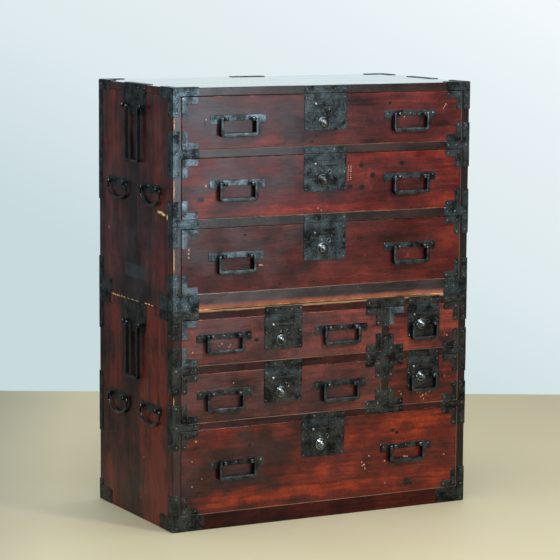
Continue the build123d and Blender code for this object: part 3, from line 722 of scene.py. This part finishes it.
def lock_details(plates):
    """The folded band along the top of a lock plate, the painted shadow line and stop of its bar, and the
    rings round its keyhole and its rivet. The bar, its stop and the rings are rubbed light, which also
    paints their highlights."""
    low, high = max(plates, key=lambda box: (box[1].x - box[0].x) * (box[1].z - box[0].z))
    face, middle = DRAWER_FACE - IRON, (low.x + high.x) / 2
    sunk = face + 0.4 * MM
    band = block(Vector((low.x + 1 * MM, face - 0.8 * MM, high.z - CROWN_BAND)),
                 Vector((high.x - 1 * MM, sunk, high.z + 2.2 * MM)))
    # A dull black strip under the bar: a painted shadow.
    painted_shadow_block = block(Vector((middle - 29 * MM, face - 0.15 * MM, high.z - 30.6 * MM)),
                   Vector((middle + 30 * MM, sunk, high.z - 28 * MM)))
    lip = block(Vector((middle - 28 * MM, face - 1.4 * MM, high.z - 28 * MM)),
                Vector((middle + 30 * MM, sunk, high.z - 25.8 * MM)))
    for vert in lip.verts:
        if vert.co.y < face and vert.co.z > high.z - 27 * MM:
            vert.co.z -= 1.8 * MM
    stop, stop_place = bmesh.new(), (middle - 30 * MM, face - 1.5 * MM, high.z - 25 * MM)
    bmesh.ops.create_uvsphere(stop, u_segments=12, v_segments=8, radius=3.6 * MM,
                              matrix=Matrix.Translation(stop_place))
    keyhole = (4.6 if high.x - low.x < 105 * MM else 5.4) * MM
    drop = high.z - KEYHOLE_DROP - 2 * MM
    # The bar and its stop are wholly rubbed light and the rings partly: wear, and also their painted
    # highlights.
    return [cut_plate(band), shown(painted_shadow_block, 0, SHADOW_STRIP, smooth=False), shown(lip, 1, RUBBED, smooth=False),
            shown(stop, 1), turned_ring(Vector((middle + KEYHOLE_SHIFT, face, drop)), keyhole, 1.25),
            turned_ring(Vector((middle - 9 * MM, face, drop + 1 * MM)), 3.4 * MM, 1.0)]


def arc(centre, radius, start, end, count):
    """Points round an arc in the plane of a bail, angles in degrees."""
    angles = [math.radians(start + (end - start) * i / count) for i in range(count + 1)]
    return [(centre[0] + radius * math.cos(a), centre[1] + radius * math.sin(a)) for a in angles]


def square_path(half, drop, pin_end, bar):
    """Half of a square-cornered bail, from its pin down to the middle of its bar, with girths. The pin turns
    in or out, to wherever its stud is."""
    side, low, corner, shoulder = half - bar / 2, -drop + bar / 2, 5 * MM, 3.2 * MM
    turn = 1 if pin_end > side else -1
    bend = arc((side + turn * shoulder, -shoulder), shoulder, 90, 90 + turn * 90, 4)
    path = [((pin_end, 0), 0.55), ((side + turn * 4.4 * MM, 0), 0.55)]
    path += [(point, 0.92) for point in bend]
    path += [((side, height), 0.94) for height in reversed(steps(low + corner, -shoulder, 9 * MM))]
    path += [(point, 1.0) for point in arc((side - corner, low + corner), corner, 0, -90, 5)]
    path += [((aside, low), 1.1) for aside in reversed(steps(0, side - corner, 9 * MM))]
    return path


def loop_path(half, drop, pin_end):
    """Half of a loop handle: a crescent, widest below its hinge, thin at the sides and thick below."""
    side, belly, bulge = half - 3 * MM, drop - 14.3 * MM, 10 * MM
    start = math.asin(bulge / belly)
    path = [((pin_end, 0), 0.5), ((side * math.cos(start) - 4 * MM, 0), 0.5),
            ((side * math.cos(start) - 1 * MM, -0.4 * MM), 0.66)]
    for i in range(1, 15):
        a = (math.pi / 2 + start) * i / 15 - start
        girth = 0.75 + 0.33 * max(0, math.sin(a)) ** 2
        path.append(((side * math.cos(a), -bulge - belly * math.sin(a)), girth))
    return path


def forged_bail(name, path, aside, rounding, bar, depth, iron):
    """A bail or handle, hanging from its hinge. aside is the direction from its middle to its right end. Its
    flanks, below the hinge, are black: forge scale, and a painted shade on the bar's sides."""
    middle = HINGES[name]
    rng = random.Random(name)
    right = [(middle + aside * u + Vector((0, 0, v)), girth) for (u, v), girth in path]
    left = [(middle - aside * u + Vector((0, 0, v)), girth) for (u, v), girth in path]
    low = min(point.z for point, _ in right)
    whole = right + [(Vector((middle.x, middle.y, low)), path[-1][1])] + left[::-1]
    girths = [girth * rng.uniform(0.97, 1.03) for _, girth in whole]
    seeds = seed_mesh([point for point, _ in whole], "girth", "FLOAT", girths,
                      [(i, i + 1) for i in range(len(whole) - 1)])
    mesh = grown(seeds, BAR_TREE, {"Bar": bar, "Depth": depth, "Rounding": rounding,
                                   "Unevenness": 0.9 * MM, "Material": iron})
    solid = bmesh.new()
    solid.from_mesh(mesh)
    bmesh.ops.recalc_face_normals(solid, faces=solid.faces)
    for face in solid.faces:
        face.normal_update()
        hanging = face.calc_center_median().z < middle.z - 4 * MM
        # Flanks below the hinge turn black: forge scale, and a painted shade on the bar's sides.
        face.material_index = int(hanging and abs(face.normal.dot(aside)) > 0.8)
    solid.to_mesh(mesh)
    solid.free()
    mesh.materials.append(FLANK_SCALE_AND_SHADE)
    piece(name, name, mesh, [], "forged_iron", name)


def turned_knob(name):
    """A stepped round knob turned on a lathe, with its spindle and the latch tongue behind the front."""
    low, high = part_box(name)
    axis = HINGES[name]
    radius = (axis.x - low.x) / MM
    profile = [(radius + r, out) for r, out in ((0, 0), (-0.1, 1.4), (-0.9, 2.3), (-2.2, 2.1), (-2.6, 2.3),
                                                (-3.4, 3.6), (-4.9, 5.2), (-6.8, 6.6))]
    profile += [(6.6, 7.3), (5.6, 7.6), (5.2, 8.6), (5.7, 9.7), (5.5, 11.3), (4.3, 12.6), (2.3, 13.3)]
    foot, turns = low.y + KNOB_REACH, 32
    knob, rings = turned(Vector((axis.x, foot, axis.z)), [(r * MM, -out * MM) for r, out in profile], turns)
    tip = knob.verts.new((axis.x, low.y, axis.z))
    for i in range(turns):
        knob.faces.new([rings[-1][i], rings[-1][(i + 1) % turns], tip])
    knob.faces.new(rings[0])
    bmesh.ops.recalc_face_normals(knob, faces=knob.faces)
    rim = knob.faces.layers.float.new("rim")
    for face in knob.faces:
        face.smooth = len(face.verts) < 6
        out = (foot - face.calc_center_median().y) / MM
        # Rubbed light rings at the flange's edge, the nipple's step and the tip: wear, and a painted
        # highlight on each ring.
        face[rim] = 0.35 if 1.2 < out < 2.3 or 6.8 < out < 7.6 or out > 11 else 0
    spindle = bmesh.new()
    length = high.y - foot
    bmesh.ops.create_cone(spindle, cap_ends=True, segments=20, radius1=4 * MM, radius2=4 * MM, depth=length,
                          matrix=Matrix.Translation((axis.x, foot + length / 2, axis.z))
                          @ Matrix.Rotation(math.pi / 2, 4, "X"))
    before, behind = TONGUE_GAPS
    tongue = block(Vector((axis.x - 8 * MM, high.y - TONGUE + before, axis.z - 7 * MM)),
                   Vector((high.x - 0.5 * MM, high.y - behind, axis.z + 7 * MM)))
    round_over(tongue, tongue.edges[:], 0.5 * MM, 2)
    piece(name, name, gathered([knob, spindle, tongue]), [DARK_KNOB if "upper" in name else KNOB_IRON],
          "forged_iron", name)


# ---------------------------------------------------------------- finishes
# Each iron is dark in its dents and light on its high places. The colours are its dents, its face and its
# rubbed rims and flecks. Plates of sheet iron are nearly black; on the lower case and its drawers they take
# a neutral grey copy, a painted reflection of the warm floor. Plates on the left take lighter copies, a
# painted sheen: smooth grey corner irons, and straps that still carry coarse scale. Nails, bars and knobs
# are brighter and glossier, because hands and hammers rubbed them, and the upper drawers' left bails are
# lighter still, a painted sheen.
SHEET_IRON = hammered_iron("hammered_black_iron", "#090b0c", "#454e52", "#9ca6aa", depth=0.5, fleck=0.55)
# The lower irons' copy: neutral grey, a painted reflection of the warm floor.
IRON_PAINTED_FLOOR_TINT = hammered_iron("black_iron_painted_floor_tint", "#090a0a", "#434543", "#9c9f9c", depth=0.5, fleck=0.5)
# Smoother corner iron, lighter than the sheet iron: its light grey is a painted sheen.
SMOOTH_IRON_WITH_SHEEN = hammered_iron("smooth_corner_iron_painted_sheen", "#2a3237", "#68757c", "#9ba7ad", dent=14, depth=0.12,
                          gloss=0.36, fleck=0.4)
# Coarse scale, and a lighter tone that paints the sheen on the left straps.
SCALY_IRON_WITH_SHEEN = hammered_iron("scaly_strap_iron_painted_sheen", "#12171a", "#55646a", "#a4b2b7", dent=7, depth=0.5, gloss=0.38,
                           fleck=0.9)
NAIL_IRON = hammered_iron("nail_iron", "#2c3033", "#6c7275", "#aab0b2", dent=4, depth=0.1, gloss=0.34)
BAR_FORGING = {"dent": 6, "depth": 0.2}         # small, shallow dents
FORGED_IRON = hammered_iron("forged_bar_iron", "#14181a", "#4c5458", "#a8b0b2", gloss=0.34, fleck=0.5,
                            **BAR_FORGING)
# A lighter copy of the bar iron for the upper drawers' left bails: a painted sheen.
BAR_IRON_PAINTED_SHEEN = hammered_iron("rubbed_bar_iron", "#1c2123", "#596367", "#b0b8ba", gloss=0.34, fleck=0.5,
                            **BAR_FORGING)
# The flanks of bails and handles: black forge scale that also paints the shade on their sides.
FLANK_SCALE_AND_SHADE = hammered_iron("black_flank_scale_and_painted_shade", "#08090a", "#16191b", "#4c5255", gloss=0.6, fleck=0.15,
                            **BAR_FORGING)
KNOB_IRON = hammered_iron("rubbed_knob_iron", "#1e2224", "#5c6366", "#b4babc", dent=7, depth=0.06, gloss=0.26)
DARK_KNOB = hammered_iron("dark_knob_iron", "#121517", "#3c4144", "#8e9496", dent=7, depth=0.06, gloss=0.32)
# A painted shadow under a lock's bar: a dull black strip with no gloss, where the bar's shade falls.
BAR_SHADOW, tree = new_material("painted_shadow_under_the_bar")
shadow_speckle = add(tree, NOISE, {"Vector": add(tree, COORDS, out="Object"), "Scale": 300, "Detail": 2})
finished(BAR_SHADOW, {"Base Color": scale_of(tree, shadow_speckle, (0.3, "#0b0a0b"), (0.7, "#1a1718")), "Roughness": 0.8})
IRONS = [SHEET_IRON, BAR_SHADOW, SMOOTH_IRON_WITH_SHEEN, SCALY_IRON_WITH_SHEEN, KNOB_IRON, IRON_PAINTED_FLOOR_TINT]
NAIL_TREE, BAR_TREE = nail_tree(), bar_tree()

# Each drawer front's own lacquer, from wine red above to bright orange-brown below, with its own wear.
# Marks are (across, height, width, height of the mark) in millimetres. COLUMNS are two rows of small chips.
COLUMNS = [(x + 0.1 * (z % 3), z, 3, 2.6) for x in (68, 75) for z in range(876, 912, 5)]
# The dark shades round the bails are grime and painted shade; the light ones along the edges are wear.
DRAWER_FINISHES = {
    "upper_top": dict(
        colours=("#280e12", "#56211f", "#7c2c24", "#bc643e"), veil=0.48, foot_veil=0.3, wear=0.3, lean=0.2,
        edge_width=3.4,
        shades=[(264, 1035, 200, 90, -0.04), (-200, 974, 330, 26, 0.12), (-146, 1009, 60, 60, 0.06)],
        knots=[(-66, 982, 14, 13), (-40, 976, 13, 10), (189, 1070, 7, 10), (-342, 1030, 8, 16)],
        chips=[(-339, 1040, 3, 5), (352, 1053, 3, 5), (355, 1058, 3, 5), (358, 1063, 3, 5),
               (233, 1034, 3, 3)]),
    "upper_middle": dict(
        colours=("#300e0f", "#601b17", "#8e2d1c", "#bc603a"), veil=0.52, foot_veil=0.2, wear=0.4,
        edge_width=3.4,
        shades=[(270, 850, 190, 90, -0.07), (300, 935, 170, 28, 0.12), (131, 937, 100, 26, 0.08),
                (-80, 800, 560, 28, 0.12), (-350, 828, 70, 50, 0.12)],
        knots=[(-353, 841, 22, 13), (107, 912, 15, 14), (140, 885, 17, 15), (73, 857, 16, 14),
               (108, 855, 18, 14), (227, 913, 14, 12)],
        chips=[(-339, 875, 4, 6), *COLUMNS, (-10, 800, 4, 3), (-20, 806, 3, 4)]),
    "upper_bottom": dict(
        colours=("#280b0a", "#561814", "#7c2819", "#b0583a"), veil=0.5, foot_veil=0.4, wear=0.3, edge_width=3,
        shades=[(284, 757, 260, 28, 0.06), (-60, 700, 300, 90, 0.04)],
        knots=[(-215, 614, 9, 7), (-230, 747, 9, 7), (-128, 618, 8, 6)],
        chips=[(-386, 717, 4, 6), (-386, 707, 5, 5), (-386, 697, 3, 5), (-186, 669, 8, 4), (-180, 668, 4, 4)],
        reds=[(249, 672, 7, 13), (247, 667, 14, 4), (120, 679, 6, 4)]),
    "lower_left_top": dict(
        colours=("#44282a", "#783c38", "#9c4a3e", "#c8583c"), veil=0.7, foot_veil=0.6, wear=0.45,
        edge_width=3,
        shades=[(-376, 480, 60, 90, 0.08), (48, 461, 200, 60, -0.03)], knots=[(-194, 477, 14, 11)],
        chips=[(-293, 474, 6, 3), (-273, 465, 5, 3), (-268, 470, 3, 3), (-300, 468, 3, 3),
               (-374, 457, 4, 5)]),
    "lower_left_bottom": dict(
        colours=("#301a1c", "#602c29", "#8a3c30", "#c05438"), veil=0.4, foot_veil=0.6, wear=0.4,
        shades=[(-256, 399, 160, 30, 0.12), (-374, 345, 50, 60, 0.12)], chips=[(-260, 372, 4, 3)]),
    "lower_right_top": dict(
        colours=("#321618", "#702e2a", "#9c4230", "#a8583c"), wear=0.35,
        shades=[(367, 439, 60, 60, -0.14)], chips=[(373, 452, 3, 5)],
        reds=[(366, 455, 6, 10), (230, 472, 7, 8)]),
    "lower_right_bottom": dict(
        colours=("#32120f", "#622014", "#8c381c", "#a8583c"), veil=0.2, wear=0.35,
        shades=[(369, 318, 60, 60, -0.14)],
        chips=[(301, 296, 5, 5), (292, 302, 5, 3), (284, 305, 4, 3), (311, 300, 5, 3), (321, 303, 4, 3),
               (304, 286, 3, 5), (296, 291, 3, 3), (234, 304, 4, 4)],
        reds=[(368, 342, 7, 9), (381, 341, 6, 3), (228, 312, 7, 6)]),
    "lower_base": dict(
        colours=("#300e09", "#661a0b", "#9a340a", "#a8583f"), veil=0.2, foot_veil=0.1, wear=0.15, lean=0.14,
        shades=[(-263, 165, 230, 110, -0.08), (239, 125, 230, 100, -0.1), (-250, 74, 340, 40, 0.16),
                (0, 71, 260, 30, 0.1), (-126, 239, 70, 50, 0.08)],
        knots=[(-212, 207, 9, 6), (223, 202, 13, 10), (211, 209, 12, 9), (254, 68, 19, 24),
               (266, 62, 12, 12)],
        chips=[(-365, 229, 5, 5), (-348, 132, 4, 3), (-376, 178, 3, 4), (-376, 114, 3, 4), (248, 137, 11, 3),
               (255, 135, 5, 4), (139, 147, 7, 3), (124, 125, 6, 4), (117, 132, 3, 6), (127, 115, 3, 7),
               (119, 122, 4, 3), (187, 129, 4, 4), (188, 70, 4, 3), (369, 131, 4, 3)]),
}
DRAWER_LACQUERS = {drawer: lacquered_wood(f"lacquer_{drawer}", streak=8, **finish)
                   for drawer, finish in DRAWER_FINISHES.items()}
# The rails and posts are darker than the drawers, because hands never rubbed them.
DARK = ("#130806", "#2a1614", "#402019", "#7a3c2c")
RUSSET = ("#200c0b", "#3f1d1b", "#5e2a24", "#a04c34")
RAIL_LACQUER = {
    "upper": lacquered_wood("lacquer_upper_rails", DARK, veil=0.36, streak=5, shine=0.4, wear=0.3),
    "lower": lacquered_wood("lacquer_lower_rails", RUSSET, veil=0.2, streak=5, shine=0.15, wear=0.45,
                            washes=[("#b08868", 6, -2.5, -0.5, 0.8)]),
}
FOOT_LACQUER = lacquered_wood("lacquer_foot", ("#260d0b", "#431712", "#5c2217", "#6a3826"), veil=0.05,
                              streak=7, shine=0.1, wear=0.05)
PLINTH_LACQUER = lacquered_wood("lacquer_plinth", ("#221a1e", "#3c2f36", "#524046", "#9a5a48"), veil=0.75,
                                streak=6, shine=0.45, lean=-0.1, wear=0.15,
                                washes=[("#a8604c", -14, 11, -1, 1.0), ("#f0b878", -14, -3.2, -4.4, 1.0)])
STILE_LACQUER = {
    "upper": lacquered_wood("lacquer_upper_stiles", DARK, along="Z", streak=5, shine=0.5, wear=-0.3,
                            lean=-0.2, bare="#e8b088",
                            chips=[(-428, 1032, 4, 34), (-428, 867, 4, 52), (-428, 690, 4, 63)]),
    "lower": lacquered_wood("lacquer_lower_stiles", DARK, along="Z", veil=0.28, streak=5, wear=-0.3,
                            lean=-0.1, chips=[(-428, 336, 4, 20), (-428, 240, 3, 14)]),
}
# The sides: long upright streaks and little gloss, as they were never handled. A mark's place across runs
# from front to back. The upper side's foot is chipped from being lifted on and off.
SIDES = dict(colours=("#1c0d0e", "#48201e", "#762e24", "#9a6a50"), along="Z", face="X", streak=20, shine=0.12,
             wear=0.02, lean=0)
SIDE_LACQUER = {
    "upper": lacquered_wood(
        "lacquer_upper_sides", veil=0.25, bare="#ffdc9c", **SIDES,
        bands=[(0.0, 0.5), (0.12, 0.60), (0.3, 0.55), (0.5, 0.42), (0.68, 0.48), (0.84, 0.62), (0.95, 0.5)],
        shades=[(106, 985, 70, 220, 0.12), (-131, 1050, 50, 100, 0.12), (0, 592, 460, 56, -0.16),
                (-178, 880, 50, 300, -0.06)],
        chips=[(-150, 806, 34, 7), (-170, 802, 22, 7), (-196, 797, 16, 14), (180, 564, 34, 2.4),
               (152, 565, 14, 4), (138, 564, 11, 6), (124, 563.5, 16, 3.5), (109, 563, 12, 7),
               (98, 563, 8, 4), (85, 561, 7, 12), (68, 564, 14, 2.6), (44, 564, 16, 2), (20, 563.5, 22, 2.2),
               (-10, 563.5, 26, 1.8), (-66, 564, 18, 3), (-84, 564, 12, 5), (-102, 563.5, 16, 3),
               (165, 738, 3, 6)],
        label=((LEFT, -3 * MM, 640 * MM), (0.2, 63 * MM, 17 * MM))),
    "lower": lacquered_wood(
        "lacquer_lower_sides", veil=0.1, chips=[(-53, 164, 4, 5)], **SIDES,
        bands=[(0.0, 0.5), (0.12, 0.70), (0.3, 0.66), (0.5, 0.43), (0.68, 0.48), (0.84, 0.58), (0.95, 0.5)],
        shades=[(-16, 190, 90, 260, 0.12), (-180, 200, 70, 300, -0.16), (-60, 450, 40, 90, -0.1),
                (130, 500, 90, 90, 0.14), (-85, 525, 90, 60, 0.16)]),
}
# The top was never worn and is still glossy. Inside and behind, the softwood is bare: straw-coloured boards
# with brown growth lines, and a greyer back.
TOP_LACQUER = lacquered_wood("lacquer_top", DARK, streak=20, shine=0.5, coat=1.0)
KIRI = bare_wood("bare_softwood", "#c9a77c", "#8f6a48")
KIRI_DEEP = bare_wood("bare_softwood_deep", "#c9a77c", "#8f6a48", along="Y")
KIRI_UPRIGHT = bare_wood("bare_softwood_upright", "#bd9b72", "#83613f", along="Z")
OLD_BACK = bare_wood("aged_back_boards", "#9a7a58", "#5f452f")

# ---------------------------------------------------------------- the two cases
for case in ("lower", "upper"):
    body = f"{case}_case"
    boards(f"{case}_side_panels", body, f"{case}_sides",
           lambda low, high, normal, at: (
               0 if normal.x * at.x > 0.3 * abs(at.x) else 1 if normal.y < -0.5 else 2),
           [SIDE_LACQUER[case], STILE_LACQUER[case], KIRI_UPRIGHT], "case_wood", round_off=1.6 * MM)
    boards(f"{case}_front_rails", body, f"{case}_rails",
           lambda low, high, normal, at: (
               2 if normal.y > -0.4 else 3 if abs(low.z - SEAM) < 2 * MM else 4 if low.z < 2 * MM else
               1 if high.z - low.z > 60 * MM else 0),
           [RAIL_LACQUER[case], STILE_LACQUER[case], KIRI, PLINTH_LACQUER, FOOT_LACQUER], "case_wood",
           round_off=0.8 * MM, lips={PLINTH: plinth_lip} if case == "upper" else {})
    boards(f"{case}_top_and_floors", body, f"{case}_boards",
           lambda low, high, normal, at: (
               1 if low.x > -LEFT * 2 or high.x - low.x < RIGHT - LEFT - 1 * MM else
               2 if normal.z > 0.4 else 0 if normal.y < -0.4 else 3 if abs(normal.x) > 0.4 else 1),
           [RAIL_LACQUER[case], KIRI, TOP_LACQUER, SIDE_LACQUER[case]], "case_wood", round_off=1.5 * MM)
    boards(f"{case}_back_panel", body, f"{case}_back", lambda low, high, normal, at: 0, [OLD_BACK],
           "case_wood")
    ironwork(f"{case}_ironwork", body, f"{case}_irons")

# ---------------------------------------------------------------- drawers
for drawer in DRAWERS:
    boards(f"{drawer}_drawer", f"drawer_{drawer}", f"drawer_{drawer}",
           lambda low, high, normal, at: (
               0 if low.y < DRAWER_FACE + 1 * MM and normal.y < 0.5 else
               1 if high.x - low.x > 30 * MM else 2),
           [DRAWER_LACQUERS[drawer], KIRI, KIRI_DEEP], "drawer_wood", round_off=0.9 * MM)
    ironwork(f"{drawer}_drawer_irons", f"drawer_{drawer}", f"irons_{drawer}", lock_details)
    turned_knob(f"knob_{drawer}")

# ---------------------------------------------------------------- bails and handles
for name in sorted(frame["bodies"]):
    if name.startswith("bail_"):
        half, drop, stud, bar = SMALL_BAIL if "lower_right" in name else WIDE_BAIL
        path = square_path(half, drop, stud - PIN_REACH, bar)
        # The upper drawers' left bails take a lighter copy of the bar iron: a painted sheen.
        iron = BAR_IRON_PAINTED_SHEEN if "upper" in name and name.endswith("_left") else FORGED_IRON
        forged_bail(name, path, Vector((1, 0, 0)), 1.0 * MM, bar, BAIL_DEPTH, iron)
    elif "_long_handle_" in name:
        half, stud = LONG_HANDLES[name[:5]]
        path = square_path(half, LONG_DROP, stud + PIN_REACH, LONG_BAR)
        forged_bail(name, path, Vector((0, 1, 0)), 1.2 * MM, LONG_BAR, LONG_DEPTH, FORGED_IRON)
    elif "_loop_" in name:
        path = loop_path(LOOP_HALF, LOOP_DROP, LOOP_STUD - PIN_REACH)
        forged_bail(name, path, Vector((0, 1, 0)), 3.4 * MM, LOOP_BAR, LOOP_DEPTH, FORGED_IRON)

# ---------------------------------------------------------------- floor, backdrop, light and camera
PALE_FLOOR, tree = new_material("pale_floor")
place = add(tree, COORDS, out="Object")
mottle = add(tree, NOISE, {"Vector": place, "Scale": 1.3, "Detail": 5})
pale = scale_of(tree, mottle, (0.3, "#c2bd9e"), (0.7, "#cbc5a8"))
# The floor darkens to the right: painted shade.
painted_shade_rightward = add(tree, RANGE, {0: add(tree, SPLIT, {0: place}), 1: -0.4, 2: 1.6, 4: 0.6})
pale = over(tree, pale, "#a89a7c", painted_shade_rightward)
# Darker still in the far left corner: painted shade.
corner = add(tree, VECTOR, {0: place, 1: (-0.9, 0.42, 0)}, out="Value", operation="DOT_PRODUCT")
corner = add(tree, RANGE, {0: corner, 1: 0.6, 2: 1.0, 4: 0.85})
finished(PALE_FLOOR, {"Base Color": over(tree, pale, "#7c8070", corner), "Roughness": 0.6})

YAW, PITCH, ROLL = math.radians(27.963), math.radians(7.6415), math.radians(0.4012)
EYE = Vector((-3.0197, -5.6702, 1.4543))
ahead = Vector((math.sin(YAW), math.cos(YAW), 0))
aside = Vector((math.cos(YAW), -math.sin(YAW), 0))
far, near = EYE + ahead * 8.02, EYE - ahead * 2
corners = [near - aside * 7, near + aside * 7, far + aside * 7, far - aside * 7]
floor_mesh = bpy.data.meshes.new("floor")
floor_mesh.from_pydata([(corner.x, corner.y, 0) for corner in corners], [], [(0, 1, 2, 3)])
floor_mesh.materials.append(PALE_FLOOR)
floor = bpy.data.objects.new("floor", floor_mesh)
bpy.context.scene.collection.objects.link(floor)

world = bpy.data.worlds.new("studio")
bpy.context.scene.world = world
world.use_nodes = True
tree = world.node_tree
tree.nodes.clear()
rays = add(tree, "ShaderNodeLightPath").node.outputs
seen = add(tree, MATH, {0: rays["Is Camera Ray"], 1: rays["Is Transmission Ray"]}, operation="MAXIMUM")
way = add(tree, COORDS, out="Generated")
bright_side = Vector((math.sin(YAW), math.cos(YAW), 0.35)).normalized()
toward = add(tree, VECTOR, {0: way, 1: bright_side}, out="Value", operation="DOT_PRODUCT")
glossy = add(tree, RANGE, {0: toward, 1: 0.72, 2: 0.93, 3: 0.12, 4: 1.02})
around = add(tree, RANGE, {0: rays["Is Glossy Ray"], 3: 0.5, 4: glossy})
strength = add(tree, RANGE, {0: seen, 3: around, 4: 1.0})
lean = add(tree, VECTOR, {0: way, 1: aside * 2.6 + Vector((0, 0, 5))}, out="Value",
           operation="DOT_PRODUCT")
colour = scale_of(tree, add(tree, MATH, {0: lean, 1: 0.8}), (0.0, "#c8dadc"), (0.35, "#dde9ec"),
                  (0.75, "#e8f1f5"), (1.0, "#f4f9fd"))
colour = over(tree, colour, "#e4f4f8", rays["Is Glossy Ray"])
backdrop = add(tree, "ShaderNodeBackground", {"Color": colour, "Strength": strength})
tree.links.new(backdrop, add(tree, "ShaderNodeOutputWorld", out=None).inputs["Surface"])


def softbox(name, place, target, size, watts, colour, diffuse=True):
    """A soft lamp turned to a target."""
    lamp = bpy.data.lights.new(name, "AREA")
    lamp.shape = "RECTANGLE"
    lamp.size, lamp.size_y = size
    lamp.energy = watts
    lamp.color = linear(colour)[:3]
    obj = bpy.data.objects.new(name, lamp)
    obj.location = place
    obj.rotation_euler = (Vector(target) - Vector(place)).to_track_quat("-Z", "Y").to_euler()
    obj.visible_camera = False
    obj.visible_diffuse = diffuse
    bpy.context.scene.collection.objects.link(obj)


softbox("key", (1.5, -3.7, 2.7), (0, 0, 0.6), (0.6, 0.6), 80, "#fff8ef")
softbox("overhead", (0, -0.6, 4.2), (0, -0.6, 0), (3.5, 3.5), 130, "#fffaf0")
softbox("fill", (-3.8, -0.6, 2.4), (0, 0, 0.6), (2.0, 2.0), 14, "#ffeedd")
softbox("sheen", (0.62, -2.5, 0.92), (-0.3, 0, 0.92), (0.8, 0.8), 13.5, "#dceefa", diffuse=False)
softbox("window", (-1.1, -1.9, 3.1), (0, 0, 0.7), (0.9, 0.9), 230, "#eaf4ff", diffuse=False)
softbox("doorway", (-1.95, 2.85, 0.7), (-0.43, 0, 0.7), (1.6, 1.4), 1.6, "#e0f4ff", diffuse=False)

camera = bpy.data.cameras.new("camera")
camera.lens, camera.sensor_width = 157.293, 36
eye = bpy.data.objects.new("camera", camera)
forward = Vector((math.sin(YAW) * math.cos(PITCH), math.cos(YAW) * math.cos(PITCH), -math.sin(PITCH)))
level_up = aside.cross(forward)
right = math.cos(ROLL) * aside + math.sin(ROLL) * level_up
upright = -math.sin(ROLL) * aside + math.cos(ROLL) * level_up
eye.matrix_world = Matrix((right, upright, -forward)).transposed().to_4x4()
eye.location = EYE
bpy.context.scene.collection.objects.link(eye)
bpy.context.scene.camera = eye
bpy.context.scene.view_settings.view_transform = "Standard"
